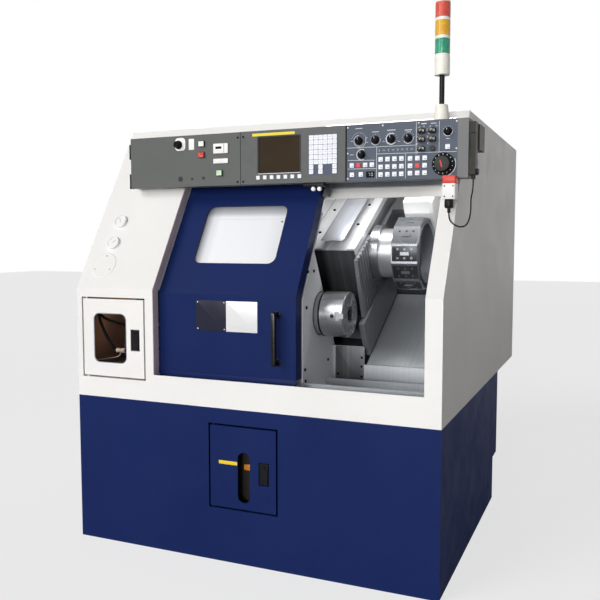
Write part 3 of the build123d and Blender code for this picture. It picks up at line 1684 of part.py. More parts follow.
with BuildPart() as tower_pole:
    with BuildSketch(tower_plane.offset(tower_pole_bottom)):
        Circle(tower_pole_radius)
    extrude(amount=tower_pole_height)
tower_pole.part.label = "tower_pole"
export_step(tower_pole.part, "parts/tower_pole.step")

for lens_number, lens_name in enumerate(("green_lens", "amber_lens", "red_lens")):
    lens_bottom = tower_stack_bottom + lens_number * tower_step + tower_ring_height
    with BuildPart() as tower_lens:
        with BuildSketch(tower_plane.offset(lens_bottom)):
            Circle(tower_radius)
        extrude(amount=tower_lens_height)
    tower_lens.part.label = lens_name
    export_step(tower_lens.part, f"parts/{lens_name}.step")

# Connector blocks at the panel's right end, with the cord's gland under them
with BuildPart() as connector_block:
    block_middle_y = front_y + (block_front_depth + block_rear_depth) / 2
    block_length = block_rear_depth - block_front_depth
    for low, high, inset in (
        (block_split_high, block_top, 0),
        (block_split_low, block_split_high, block_inset),
        (block_bottom, block_split_low, 0),
    ):
        with BuildSketch(Plane.XY.offset(low)):
            with Locations((panel_right + block_width / 2, block_middle_y)):
                Rectangle(block_width, block_length - 2 * inset)
        extrude(amount=high - low)
    with BuildSketch(Plane.XY.offset(fin_block_bottom)):
        with Locations(
            (panel_right + fin_block_width / 2, front_y + (fin_block_front_depth + fin_block_rear_depth) / 2)
        ):
            Rectangle(fin_block_width, fin_block_rear_depth - fin_block_front_depth)
    extrude(amount=fin_block_top - fin_block_bottom)
    with BuildSketch(Plane.XY.offset(block_bottom)):
        with Locations((gland_x, front_y + gland_depth)):
            RegularPolygon(gland_radius, 6)
    extrude(amount=-gland_height)
    with BuildSketch(Plane.YZ.offset(panel_right + block_width)):
        with Locations((block_middle_y, block_bottom + button_knob_radius)):
            Circle(button_knob_radius)
    extrude(amount=button_knob_height)
connector_block.part.label = "connector_block"
export_step(connector_block.part, "parts/connector_block.step")

# Door switch on the right post: body and head on a bracket, with the plug under the body
with BuildPart() as interlock_switch:
    switch_middle = (
        (switch_left + switch_right) / 2,
        front_y + (switch_front_depth + switch_rear_depth) / 2,
    )
    with BuildSketch(Plane.XY.offset(switch_body_bottom)):
        with Locations(switch_middle):
            Rectangle(switch_right - switch_left, switch_rear_depth - switch_front_depth)
    extrude(amount=switch_head_bottom - switch_body_bottom)
    with BuildSketch(Plane.XY.offset(switch_head_bottom)):
        with Locations(switch_middle):
            Rectangle(switch_right - switch_left - block_inset, switch_rear_depth - switch_front_depth)
    extrude(amount=switch_top - switch_head_bottom)
    with BuildSketch(Plane.YZ.offset((switch_left + switch_right - bracket_width) / 2)):
        with BuildLine():
            Polyline(
                (front_y + switch_rear_depth, bracket_bottom),
                (front_y + switch_rear_depth, bracket_top),
                slant_point(0, slant_rise(bracket_top, 0)),
                slant_point(0, slant_rise(bracket_bottom, 0)),
                close=True,
            )
        make_face()
    extrude(amount=bracket_width)
    with BuildSketch(Plane.XY.offset(switch_body_bottom)):
        with Locations((plug_x, front_y + plug_depth)):
            Circle(plug_radius)
    extrude(amount=plug_bottom - switch_body_bottom)
    with BuildSketch(Plane.XY.offset(plug_bottom)):
        with Locations((plug_x, front_y + plug_depth)):
            RegularPolygon(relief_radius, 8)
    extrude(amount=relief_bottom - plug_bottom)
interlock_switch.part.label = "interlock_switch"
export_step(interlock_switch.part, "parts/interlock_switch.step")

# Switch cord: hangs in a loop beside the post and rises to the gland
cord_points = [Vector(across, front_y + depth, height) for across, depth, height in cord_route]
cord_radii = []
for before, corner, after in zip(cord_points, cord_points[1:], cord_points[2:]):
    run_in = corner - before
    run_out = after - corner
    half_turn = radians(run_in.get_angle(run_out) / 2)
    cord_radii.append(cord_bend_share * min(run_in.length, run_out.length) / tan(half_turn))
with BuildPart() as interlock_cord:
    with BuildLine():
        FilletPolyline(*cord_points, radius=cord_radii)
    with BuildSketch(Plane(origin=cord_points[0], z_dir=cord_points[1] - cord_points[0])):
        Circle(cord_diameter / 2)
    sweep()
interlock_cord.part.label = "interlock_cord"
export_step(interlock_cord.part, "parts/interlock_cord.step")
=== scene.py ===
from math import radians, cos, sin, tan
import bpy
from mathutils import Matrix, Vector


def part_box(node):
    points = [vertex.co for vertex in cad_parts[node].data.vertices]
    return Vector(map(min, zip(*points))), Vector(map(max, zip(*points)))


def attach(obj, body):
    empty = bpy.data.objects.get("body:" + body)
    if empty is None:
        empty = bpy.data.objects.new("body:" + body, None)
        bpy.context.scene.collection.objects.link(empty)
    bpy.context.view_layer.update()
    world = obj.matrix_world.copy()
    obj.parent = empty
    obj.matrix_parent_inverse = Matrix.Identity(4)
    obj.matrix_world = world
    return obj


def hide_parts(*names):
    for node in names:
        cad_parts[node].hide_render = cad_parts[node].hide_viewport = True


# Packed lathe, its box and the sizes that place the pieces, in millimetres
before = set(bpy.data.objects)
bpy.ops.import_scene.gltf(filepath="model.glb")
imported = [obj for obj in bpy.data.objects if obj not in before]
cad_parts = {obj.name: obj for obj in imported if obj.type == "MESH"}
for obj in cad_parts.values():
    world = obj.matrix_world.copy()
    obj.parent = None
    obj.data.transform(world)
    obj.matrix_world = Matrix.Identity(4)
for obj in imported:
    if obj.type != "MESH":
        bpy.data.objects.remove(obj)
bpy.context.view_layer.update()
bpy.ops.object.select_all(action="DESELECT")
mm = 0.001
front_y = -590
knee_height = 995
slant_angle = radians(31)
bed_angle = radians(30)
plate_depth = 174
display_depth = 171
door_depth = 43
door_back = 91
opening_width = 1040
opening_middle = 147
opening_left = opening_middle - opening_width / 2
ink_height = 0.2
key_rise = 3
key_print_level = 2.4


# Places: each gives a matrix whose Z points out of the surface that carries the piece
def at(x, depth, z):
    """Point in metres, from millimetres across, back from the front and up from the floor."""
    return Vector((x, front_y + depth, z)) * mm


def facing_front(x, z, depth):
    return Matrix.Translation(at(x, depth, z)) @ Matrix.Rotation(radians(90), 4, "X")


def facing_slant(x, z, recess):
    depth = (z - knee_height) * tan(slant_angle) + recess / cos(slant_angle)
    return Matrix.Translation(at(x, depth, z)) @ Matrix.Rotation(radians(90) - slant_angle, 4, "X")


def slant_at(x, rise, inward):
    """Place by its rise along the slanted face and its depth square into the machine."""
    depth = inward * cos(slant_angle) + rise * sin(slant_angle)
    z = knee_height - inward * sin(slant_angle) + rise * cos(slant_angle)
    return Matrix.Translation(at(x, depth, z)) @ Matrix.Rotation(radians(90) - slant_angle, 4, "X")


def facing_right(x, depth, z):
    return Matrix.Translation(at(x, depth, z)) @ Matrix.Rotation(radians(90), 4, "Y")


def facing_up(x, depth, z):
    return Matrix.Translation(at(x, depth, z))


def bed_place(x, along, above, turn):
    depth = along * cos(bed_angle) - above * sin(bed_angle)
    z = along * sin(bed_angle) + above * cos(bed_angle)
    return Matrix.Translation(at(x, depth, z)) @ Matrix.Rotation(bed_angle + radians(turn), 4, "X")


def on_plate(x, z):
    return facing_front(x, z, plate_depth)


def on_display(x, z):
    return facing_front(x, z, display_depth)


def on_door(x, z):
    return facing_front(x, z, door_depth)


def over_node(node_name):
    """Place on the plate at the middle of a control's box."""
    low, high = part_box(node_name)
    return on_plate((low.x + high.x) / 2 / mm, (low.z + high.z) / 2 / mm)


def move(across, up, out):
    """Shift in millimetres along a place's own axes."""
    return Matrix.Translation((across * mm, up * mm, out * mm))


def spin(angle):
    """Turn in degrees about the axis that points out of the surface."""
    return Matrix.Rotation(radians(angle), 4, "Z")


# Modelling steps shared by the pieces
def pick_only(piece):
    bpy.ops.object.select_all(action="DESELECT")
    piece.select_set(True)
    bpy.context.view_layer.objects.active = piece


def set_size(piece, width, height, thickness):
    piece.scale = (width * mm, height * mm, thickness * mm)
    bpy.ops.object.transform_apply(location=True, rotation=True, scale=True)


def close_normals():
    bpy.ops.mesh.select_all(action="SELECT")
    bpy.ops.mesh.remove_doubles(threshold=0.000005)
    bpy.ops.mesh.normals_make_consistent(inside=False)
    bpy.ops.object.mode_set(mode="OBJECT")


def soften(piece, edge, segments):
    pick_only(piece)
    bevel = piece.modifiers.new("soft_edges", "BEVEL")
    bevel.width = edge * mm
    bevel.segments = segments
    bevel.limit_method = "ANGLE"
    bevel.angle_limit = radians(40)
    bpy.ops.object.modifier_apply(modifier=bevel.name)
    bpy.ops.object.shade_smooth_by_angle(angle=radians(35))


def raise_faces(height):
    bpy.ops.mesh.extrude_region_move(TRANSFORM_OT_translate={"value": (0, 0, height * mm)})


def slab(name, width, height, thickness, edge, segments=2):
    """Plate with softened edges, its back on the carrying surface."""
    bpy.ops.mesh.primitive_cube_add(size=1, location=(0, 0, thickness * mm / 2))
    piece = bpy.context.object
    piece.name = name
    set_size(piece, width, height, thickness)
    soften(piece, edge, segments)
    return piece


def rounded_face(name, width, height, corner):
    bpy.ops.mesh.primitive_plane_add(size=1)
    piece = bpy.context.object
    piece.name = name
    set_size(piece, width, height, 1000)
    bpy.ops.object.mode_set(mode="EDIT")
    bpy.ops.mesh.select_all(action="SELECT")
    bpy.ops.mesh.bevel(offset=corner * mm, segments=6, affect="VERTICES")
    bpy.ops.mesh.select_all(action="SELECT")
    return piece


def rounded_plate(name, width, height, corner, thickness, edge):
    piece = rounded_face(name, width, height, corner)
    raise_faces(thickness)
    close_normals()
    soften(piece, edge, 2)
    return piece


def rounded_ring(name, width, height, corner, band, thickness, edge):
    piece = rounded_face(name, width, height, corner)
    bpy.ops.mesh.inset(thickness=band * mm)
    bpy.ops.mesh.delete(type="FACE")
    bpy.ops.mesh.select_all(action="SELECT")
    raise_faces(thickness)
    close_normals()
    soften(piece, edge, 2)
    return piece


def key_cap(name, width, height, rise):
    """Key with softened edges and a dished top."""
    piece = rounded_face(name, width, height, 1.2)
    raise_faces(rise)
    bpy.ops.mesh.inset(thickness=1.1 * mm)
    raise_faces(-0.5)
    close_normals()
    soften(piece, 0.25, 2)
    return piece


def ink_stroke(width, height):
    """Printed stroke with its back on the carrying surface."""
    return slab("stroke", width=width, height=height, thickness=ink_height, edge=0.05, segments=1)


def turned(name, profile, sides):
    """Piece of revolution about Z from (radius, height) steps, extruded ring by ring."""
    radius, height = profile[0]
    bpy.ops.mesh.primitive_circle_add(
        vertices=sides, radius=radius * mm, fill_type="NGON", location=(0, 0, height * mm)
    )
    piece = bpy.context.object
    piece.name = name
    bpy.ops.object.transform_apply(location=True, rotation=True, scale=True)
    bpy.ops.object.mode_set(mode="EDIT")
    bpy.ops.mesh.select_all(action="SELECT")
    for next_radius, next_height in profile[1:]:
        raise_faces(next_height - height)
        ratio = next_radius / radius
        centre = (0, 0, next_height * mm)
        bpy.ops.transform.resize(value=(ratio, ratio, 1), center_override=centre)
        radius = next_radius
        height = next_height
    bpy.ops.mesh.select_all(action="SELECT")
    bpy.ops.mesh.normals_make_consistent(inside=False)
    bpy.ops.object.mode_set(mode="OBJECT")
    pick_only(piece)
    bpy.ops.object.shade_smooth_by_angle(angle=radians(35))
    return piece


def screw_head(name, radius, height):
    """Round screw head with a socket sunk in its top."""
    steps = [
        (radius, 0),
        (radius, height * 0.6),
        (radius * 0.86, height),
        (radius * 0.45, height),
        (radius * 0.42, height * 0.35),
    ]
    return turned(name, steps, sides=12)


def printed_arc(name, radius, width, thickness, sweep, steps=24):
    """Band spun round Z, from the X axis through the sweep."""
    bpy.ops.mesh.primitive_plane_add(size=1, rotation=(radians(90), 0, 0))
    piece = bpy.context.object
    piece.name = name
    set_size(piece, width, thickness, 1000)
    piece.location = (radius * mm, 0, thickness * mm / 2)
    bpy.ops.object.transform_apply(location=True, rotation=True, scale=True)
    bpy.ops.object.mode_set(mode="EDIT")
    bpy.ops.mesh.select_all(action="SELECT")
    bpy.ops.mesh.spin(steps=steps, angle=radians(sweep), center=(0, 0, 0), axis=(0, 0, 1))
    close_normals()
    pick_only(piece)
    bpy.ops.object.shade_smooth_by_angle(angle=radians(35))
    return piece


def put(piece, place):
    piece.matrix_world = place
    return piece


def join_as(name, parts):
    bpy.ops.object.select_all(action="DESELECT")
    for part in parts:
        part.select_set(True)
    bpy.context.view_layer.objects.active = parts[0]
    bpy.ops.object.transform_apply(location=True, rotation=True, scale=True)
    if len(parts) > 1:
        bpy.ops.object.join()
    piece = bpy.context.object
    piece.name = name
    return piece


def repeat(piece, name, places):
    """Copies of one modelled piece, each with its own mesh, joined where they stand."""
    twins = []
    for place in places:
        twin = piece.copy()
        twin.data = piece.data.copy()
        twin.matrix_world = place
        bpy.context.collection.objects.link(twin)
        twins.append(twin)
    bpy.data.objects.remove(piece)
    return join_as(name, twins)


def seat(piece, place, body, finish):
    """Puts a piece in its place, in its mesh, with its finish, body and slot."""
    piece.matrix_world = place
    pick_only(piece)
    bpy.ops.object.transform_apply(location=True, rotation=True, scale=True)
    piece.data.materials.clear()
    piece.data.materials.append(finish)
    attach(piece, body)
    return piece


def seat_joined(name, parts, body, finish):
    return seat(join_as(name, parts), Matrix(), body, finish)


def seat_copies(piece, name, places, body, finish):
    return seat(repeat(piece, name, places), Matrix(), body, finish)


def seat_screws(name, radius, height, places, body, finish):
    return seat_copies(screw_head("screw", radius, height), name, places, body, finish)


def node_copy(name, node_name):
    """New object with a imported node's mesh, its loose triangles merged."""
    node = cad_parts[node_name]
    piece = bpy.data.objects.new(name, node.data.copy())
    piece.matrix_world = node.matrix_world.copy()
    bpy.context.collection.objects.link(piece)
    pick_only(piece)
    bpy.ops.object.transform_apply(location=True, rotation=True, scale=True)
    bpy.ops.mesh.customdata_custom_splitnormals_clear()
    bpy.ops.object.mode_set(mode="EDIT")
    close_normals()
    return piece


def cut_away(piece, cutter):
    pick_only(piece)
    cut = piece.modifiers.new("cut", "BOOLEAN")
    cut.operation = "DIFFERENCE"
    cut.solver = "EXACT"
    cut.object = cutter
    bpy.ops.object.modifier_apply(modifier=cut.name)
    bpy.data.objects.remove(cutter)
    bpy.ops.object.shade_flat()


def curve_run(name, points, radius, steps):
    """Round line along its points, left as a curve."""
    line = bpy.data.curves.new(name, "CURVE")
    line.dimensions = "3D"
    line.bevel_depth = radius * mm
    line.bevel_resolution = 4
    line.resolution_u = steps
    line.use_fill_caps = True
    run = line.splines.new("NURBS")
    run.points.add(len(points) - 1)
    for point, place in zip(run.points, points):
        point.co = (*at(*place), 1)
    run.order_u = 3
    run.use_endpoint_u = True
    piece = bpy.data.objects.new(name, line)
    bpy.context.collection.objects.link(piece)
    return piece


def pipe(name, points, radius):
    """Rigid bent pipe along its points."""
    pick_only(curve_run(name, points, radius=radius, steps=12))
    bpy.ops.object.convert(target="MESH")
    bpy.ops.object.shade_smooth()
    return bpy.context.object


# Finishes: procedural materials on each object's own coordinates
def colour(red, green, blue):
    """Linear colour from the usual 0 to 255 values."""
    values = []
    for value in (red, green, blue):
        share = value / 255
        values.append(share / 12.92 if share < 0.04 else ((share + 0.055) / 1.055) ** 2.4)
    return (*values, 1)


class Finish:
    """Material with its shader, and the patterns that colour and shape it."""

    def __init__(self, name, roughness, metallic=0, specular=0.5):
        self.material = bpy.data.materials.new(name)
        self.material.use_nodes = True
        self.tree = self.material.node_tree
        self.shader = self.tree.nodes["Principled BSDF"]
        self.shader.inputs["Roughness"].default_value = roughness
        self.shader.inputs["Metallic"].default_value = metallic
        self.shader.inputs["Specular IOR Level"].default_value = specular
        self.coordinates = self.tree.nodes.new("ShaderNodeTexCoord")

    def noise(self, scale, detail=3, stretch=(1, 1, 1)):
        spread = self.tree.nodes.new("ShaderNodeMapping")
        spread.inputs["Scale"].default_value = stretch
        texture = self.tree.nodes.new("ShaderNodeTexNoise")
        texture.inputs["Scale"].default_value = scale
        texture.inputs["Detail"].default_value = detail
        self.tree.links.new(self.coordinates.outputs["Object"], spread.inputs["Vector"])
        self.tree.links.new(spread.outputs["Vector"], texture.inputs["Vector"])
        return texture.outputs["Fac"]

    def along(self, axis, low, high):
        """Even change along one axis between two places in millimetres."""
        split = self.tree.nodes.new("ShaderNodeSeparateXYZ")
        spread = self.tree.nodes.new("ShaderNodeMapRange")
        spread.inputs["From Min"].default_value = low * mm
        spread.inputs["From Max"].default_value = high * mm
        self.tree.links.new(self.coordinates.outputs["Object"], split.inputs["Vector"])
        self.tree.links.new(split.outputs[axis], spread.inputs["Value"])
        return spread.outputs["Result"]

    def ramp(self, value, stops):
        ramp = self.tree.nodes.new("ShaderNodeValToRGB")
        while len(ramp.color_ramp.elements) < len(stops):
            ramp.color_ramp.elements.new(0.5)
        for element, (place, shade) in zip(ramp.color_ramp.elements, stops):
            element.position = place
            element.color = shade
        self.tree.links.new(value, ramp.inputs["Fac"])
        return ramp.outputs["Color"]

    def tint(self, value, stops):
        self.tree.links.new(self.ramp(value, stops), self.shader.inputs["Base Color"])

    def tint_twice(self, first, first_stops, second, second_stops):
        """Two ramps multiplied, each along its own axis."""
        blend = self.tree.nodes.new("ShaderNodeMix")
        blend.data_type = "RGBA"
        blend.blend_type = "MULTIPLY"
        blend.inputs[0].default_value = 1
        self.tree.links.new(self.ramp(first, first_stops), blend.inputs[6])
        self.tree.links.new(self.ramp(second, second_stops), blend.inputs[7])
        self.tree.links.new(blend.outputs[2], self.shader.inputs["Base Color"])

    def gloss(self, value, low, high):
        spread = self.tree.nodes.new("ShaderNodeMapRange")
        spread.inputs["From Min"].default_value = 0.3
        spread.inputs["From Max"].default_value = 0.7
        spread.inputs["To Min"].default_value = low
        spread.inputs["To Max"].default_value = high
        self.tree.links.new(value, spread.inputs["Value"])
        self.tree.links.new(spread.outputs["Result"], self.shader.inputs["Roughness"])

    def relief(self, value, strength, height):
        bump = self.tree.nodes.new("ShaderNodeBump")
        bump.inputs["Strength"].default_value = strength
        bump.inputs["Distance"].default_value = height * mm
        self.tree.links.new(value, bump.inputs["Height"])
        self.tree.links.new(bump.outputs["Normal"], self.shader.inputs["Normal"])


def varied(shade, change):
    """Two stops a little darker and lighter than a colour in the usual 0 to 255 values."""
    values = colour(*shade)[:3]
    dark = tuple(part * (1 - change) for part in values)
    light = tuple(min(part * (1 + change), 1) for part in values)
    return [(0.3, (*dark, 1)), (0.7, (*light, 1))]


def paint_finish(name, shade, roughness, specular, change=0.06):
    """Sprayed paint: faint clouding, uneven gloss and fine orange peel."""
    finish = Finish(name, roughness, 0, specular)
    finish.tint(finish.noise(3, 4), varied(shade, change))
    finish.gloss(finish.noise(9, 3), roughness - 0.06, roughness + 0.08)
    finish.relief(finish.noise(420, 2), 0.05, 0.4)
    return finish.material


def steel_finish(name, shade, roughness, metallic, stretch, change=0.08, fineness=500):
    """Brushed or ground steel: fine lines that change along the long side of the stretch."""
    finish = Finish(name, roughness, metallic, 0.4)
    lines = finish.noise(fineness, 3, stretch)
    finish.tint(lines, varied(shade, change))
    finish.gloss(finish.noise(5, 2), roughness - 0.03, roughness + 0.04)
    finish.relief(lines, 0.03, 0.05)
    return finish.material


def cast_finish(name, shade, roughness):
    """Cast iron or oily casting: pitted skin and uneven tone."""
    finish = Finish(name, roughness, 0.2, 0.4)
    finish.tint(finish.noise(14, 5), varied(shade, 0.25))
    finish.gloss(finish.noise(30, 3), roughness - 0.1, roughness + 0.1)
    finish.relief(finish.noise(260, 4), 0.25, 0.6)
    return finish.material


def plastic_finish(name, shade, roughness, change=0.06, specular=0.4):
    """Moulded plastic with a fine grain."""
    finish = Finish(name, roughness, 0, specular)
    finish.tint(finish.noise(35, 3), varied(shade, change))
    finish.gloss(finish.noise(80, 2), roughness - 0.05, roughness + 0.07)
    finish.relief(finish.noise(1500, 2), 0.12, 0.15)
    return finish.material


lines_in_x = (1, 0.004, 0.004)
lines_in_y = (0.004, 1, 0.004)
lines_in_z = (0.004, 0.004, 1)
navy_paint = paint_finish("navy paint", (22, 38, 88), 0.42, 0.08)
white_paint = paint_finish("white paint", (238, 236, 233), 0.48, 0.3, 0.02)
panel_paint = paint_finish("grey panel paint", (98, 100, 98), 0.5, 0.15)
operator_paint = paint_finish("blue grey panel paint", (88, 95, 107), 0.5, 0.15)
box_paint = paint_finish("panel box paint", (120, 121, 121), 0.5, 0.15)
display_plastic = plastic_finish("display plastic", (97, 99, 98), 0.45, 0.05, 0.15)
screen_glass = Finish("dark screen", 0.16, 0, 0.12)
screen_glass.tint(screen_glass.noise(6, 2), varied((52, 41, 28), 0.12))
screen_glass.gloss(screen_glass.noise(14, 2), 0.12, 0.2)
screen_glass.relief(screen_glass.noise(600, 1), 0.02, 0.1)
key_plastic = plastic_finish("white keys", (238, 240, 246), 0.4, 0.03)
key_mark = plastic_finish("key marks", (150, 154, 166), 0.5)
red_key = plastic_finish("red keys", (214, 52, 54), 0.4)
keypad_blue = plastic_finish("keypad frame", (92, 98, 116), 0.5, 0.06, 0.15)
black_plastic = plastic_finish("black plastic", (22, 22, 24), 0.36, 0.2, 0.14)
soft_black = plastic_finish("soft black rubber", (16, 16, 18), 0.62, 0.2, 0.1)
glossy_black = plastic_finish("glossy black switches", (18, 19, 18), 0.2, 0.2, 0.4)
cap_grey = plastic_finish("dark grey caps", (58, 58, 57), 0.5, 0.08, 0.15)
white_ink = paint_finish("white ink", (226, 230, 236), 0.55, 0.3, 0.05)
olive_highlight_paint = paint_finish("pale olive painted highlight", (176, 178, 146), 0.5, 0.3, 0.08)
faint_ink = paint_finish("faint grey ink", (204, 202, 202), 0.5, 0.2, 0.04)
yellow_label = paint_finish("yellow label", (236, 214, 62), 0.45, 0.3)
yellow_warn = paint_finish("door label", (240, 206, 40), 0.45, 0.3)
casting = cast_finish("oily casting", (58, 60, 63), 0.5)
liner_paint = paint_finish("jamb liner", (226, 204, 210), 0.45, 0.2, 0.15)
slope_steel = steel_finish("slope steel", (172, 176, 180), 0.36, 0.6, lines_in_x)
cover_steel = steel_finish("bright cover steel", (212, 214, 216), 0.34, 0.4, lines_in_x, 0.04)
channel_steel = steel_finish("channel steel", (160, 163, 170), 0.36, 0.4, lines_in_x, 0.08)
ground_steel = steel_finish("ground steel", (158, 160, 163), 0.26, 0.95, lines_in_x)
chuck_steel = steel_finish("turned chuck steel", (172, 174, 178), 0.27, 0.9, lines_in_x, 0.06)
housing_steel = steel_finish("turret housing steel", (178, 180, 183), 0.32, 0.7, lines_in_x, 0.05)
drum_steel = steel_finish("turret steel", (142, 145, 150), 0.28, 0.9, lines_in_x, 0.06)
seat_shade_steel = steel_finish("tool seats with painted shade", (58, 60, 63), 0.34, 0.6, lines_in_x, 0.12)
dark_steel = steel_finish("dark steel", (56, 57, 60), 0.42, 0.6, lines_in_x)
saddle_steel = steel_finish("saddle steel", (128, 130, 135), 0.42, 0.5, lines_in_y, 0.12)
apron_steel = steel_finish("apron steel", (66, 67, 70), 0.4, 0.3, lines_in_x, 0.3, 90)
column_steel = steel_finish("column cover steel", (84, 85, 88), 0.45, 0.3, lines_in_x, 0.3, 70)
collar_shade_paint = paint_finish("collar painted shade", (112, 112, 116), 0.5, 0.2)
dish_steel = steel_finish("turret dish steel", (104, 107, 114), 0.5, 0.3, lines_in_x, 0.06)
cover_white = paint_finish("turret cover paint", (246, 246, 244), 0.45, 0.3, 0.02)
wall_paint = paint_finish("guard wall paint", (228, 228, 232), 0.45, 0.3, 0.05)
# Door pane: painted shade, darker towards its left edge and towards its top
pane_clear = Finish("door pane", 0.12, 0, 0.4)
pane_shade_across_stops = [
    (0, colour(84, 86, 92)), (0.035, colour(156, 158, 164)), (0.1, colour(226, 227, 230)),
    (0.2, colour(246, 247, 249)), (0.8, colour(240, 241, 243)), (1, colour(226, 228, 231)),
]
pane_shade_top_stops = [
    (0, colour(255, 255, 255)), (0.8, colour(250, 250, 251)), (0.87, colour(200, 201, 204)),
    (1, colour(124, 126, 130)),
]
pane_across = pane_clear.along("X", -262, 80)
pane_up = pane_clear.along("Z", 1095, 1312)
pane_clear.tint_twice(pane_across, pane_shade_across_stops, pane_up, pane_shade_top_stops)
pane_clear.gloss(pane_clear.noise(8, 2), 0.1, 0.2)
pane_clear.relief(pane_clear.noise(30, 1), 0.02, 0.2)
pane_dark = Finish("cabinet pane", 0.05, 0, 0.2)
pane_dark.tint(pane_dark.noise(5, 2), varied((226, 214, 204), 0.06))
pane_dark.gloss(pane_dark.noise(10, 2), 0.03, 0.07)
pane_dark.shader.inputs["IOR"].default_value = 1.15
pane_dark.shader.inputs["Transmission Weight"].default_value = 1
pane_dark.relief(pane_dark.noise(30, 1), 0.01, 0.1)
# Cabinet back board: brown, with a painted glow that is lighter and more orange towards the upper left,
# and darker towards the bottom
back_board = Finish("cabinet back board", 0.6, 0, 0.2)
board_glow_stops = [
    (0, colour(255, 198, 160)), (0.4, colour(252, 180, 142)), (0.68, colour(190, 150, 130)),
    (1, colour(150, 140, 140)),
]
board_up_stops = [(0, colour(120, 112, 108)), (0.45, colour(200, 192, 188)), (1, colour(255, 255, 255))]
board_across = back_board.along("X", -716, -450)
board_up = back_board.along("Z", 680, 930)
back_board.tint_twice(board_across, board_glow_stops, board_up, board_up_stops)
back_board.gloss(back_board.noise(12, 3), 0.5, 0.7)
back_board.relief(back_board.noise(90, 3), 0.1, 0.4)
oil_tank = plastic_finish("oil tank", (34, 32, 30), 0.4, 0.1, 0.2)
oil_amber = plastic_finish("amber oil", (206, 128, 40), 0.25, 0.25)
pump_paint = paint_finish("pump paint", (120, 92, 72), 0.5, 0.3, 0.2)
gauge_face = paint_finish("gauge face", (240, 239, 238), 0.4, 0.4, 0.02)
gauge_rim = steel_finish("gauge rim", (200, 202, 206), 0.25, 0.9, lines_in_z)
lamp_white = plastic_finish("ivory lamp plastic", (240, 237, 226), 0.4, 0.04)
white_plastic = plastic_finish("white plastic", (238, 236, 234), 0.4, 0.03)
red_plastic = plastic_finish("red plastic", (212, 58, 48), 0.36)
green_plastic = plastic_finish("pale green plastic", (196, 226, 190), 0.36)
silver_plate = steel_finish("silver plate", (236, 236, 236), 0.34, 0.2, lines_in_z, 0.03)
badge_dark = paint_finish("dark plate", (42, 42, 58), 0.36, 0.15, 0.15)
cord_rubber = plastic_finish("black cord", (24, 22, 23), 0.5, 0.25, 0.15)
connector_olive = plastic_finish("connector shell", (44, 43, 38), 0.45, 0.1, 0.15)


def lens_finish(name, shade):
    """Coloured lamp lens: clear-coated and a little see-through."""
    finish = Finish(name, 0.22, 0, 0.5)
    finish.tint(finish.noise(40, 2), varied(shade, 0.1))
    finish.gloss(finish.noise(60, 2), 0.16, 0.3)
    finish.shader.inputs["Coat Weight"].default_value = 0.4
    finish.shader.inputs["Subsurface Weight"].default_value = 0.15
    finish.relief(finish.noise(300, 1), 0.04, 0.2)
    return finish.material


lens_green = lens_finish("green lens", (58, 166, 132))
lens_amber = lens_finish("amber lens", (236, 186, 46))
lens_red = lens_finish("red lens", (224, 92, 74))

# Carried-over nodes of the lathe and the finish that each one shows
finish_nodes = [
    (navy_paint, ["base_cabinet", "base_door", "sliding_door"]),
    (white_paint, ["front_frame", "side_panels", "roof_panel", "rear_cover", "cabinet_door"]),
    (cover_white, ["turret_cover"]),
    (wall_paint, ["headstock_guard"]),
    (casting, ["machine_bed", "headstock"]),
    (saddle_steel, ["saddle"]),
    (slope_steel, ["chip_guards", "door_rails"]),
    (cover_steel, ["saddle_guard"]),
    (ground_steel, ["cross_slide"]),
    (housing_steel, ["turret_housing"]),
    (drum_steel, ["turret_drum"]),
    (chuck_steel, ["chuck_body", "chuck_jaw_1", "chuck_jaw_2", "chuck_jaw_3"]),
    (dark_steel, ["spindle", "spindle_bearings", "spindle_motor"]),
    (black_plastic, ["base_door_latch", "cabinet_latch", "door_handle", "tower_pole"]),
    (pane_dark.material, ["cabinet_window"]),
    (pane_clear.material, ["door_window"]),
    (oil_tank, ["lubricator"]),
    (pump_paint, ["hydraulic_unit"]),
    (gauge_face, ["pressure_gauges"]),
    (box_paint, ["panel_box"]),
    (panel_paint, ["power_plate"]),
    (display_plastic, ["display_unit"]),
    (screen_glass.material, ["display_screen"]),
    (operator_paint, ["operator_plate"]),
    (key_plastic, ["panel_keys"]),
    (glossy_black, ["selector_switches"]),
    (soft_black, [
        "handwheel", "power_knob", "mode_knob", "feed_knob", "rapid_knob", "spindle_knob", "jog_knob",
        "chuck_knob",
    ]),
    (green_plastic, ["start_button"]),
    (red_plastic, ["stop_button"]),
    (white_plastic, ["power_on_button", "interlock_switch"]),
    (lamp_white, ["tower_housing"]),
    (lens_green, ["green_lens"]),
    (lens_amber, ["amber_lens"]),
    (lens_red, ["red_lens"]),
    (connector_olive, ["connector_block"]),
    (cord_rubber, ["interlock_cord"]),
]
for finish, node_names in finish_nodes:
    for node_name in node_names:
        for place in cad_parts[node_name].material_slots:
            place.material = finish

# Camera at the photograph's place
camera_data = bpy.data.cameras.new("view_of_the_lathe")
camera_data.sensor_width = 36
camera_data.lens = 44.5
camera_data.shift_x = -0.0127
camera = bpy.data.objects.new("view_of_the_lathe", camera_data)
camera.location = (1.2373, -2.9161, 1.1782)
camera.rotation_euler = (radians(85.453), 0, radians(22.827))
bpy.context.collection.objects.link(camera)
bpy.context.scene.camera = camera

# Door switch cord, from the plug down, round and up into the gland under the connector block
cord_route = [
    (708, 140, 1272), (708, 140, 1250), (726, 136, 1232), (746, 144, 1223.5), (763, 156, 1229),
    (772, 168, 1252), (773, 182, 1285), (770, 193, 1320), (775, 205, 1353), (775, 205, 1385),
]
cord_radius = 2.5
cord = curve_run("door_switch_cord", cord_route, radius=cord_radius, steps=10)
cord.data.materials.append(cord_rubber)
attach(cord, "frame")
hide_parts("interlock_cord")

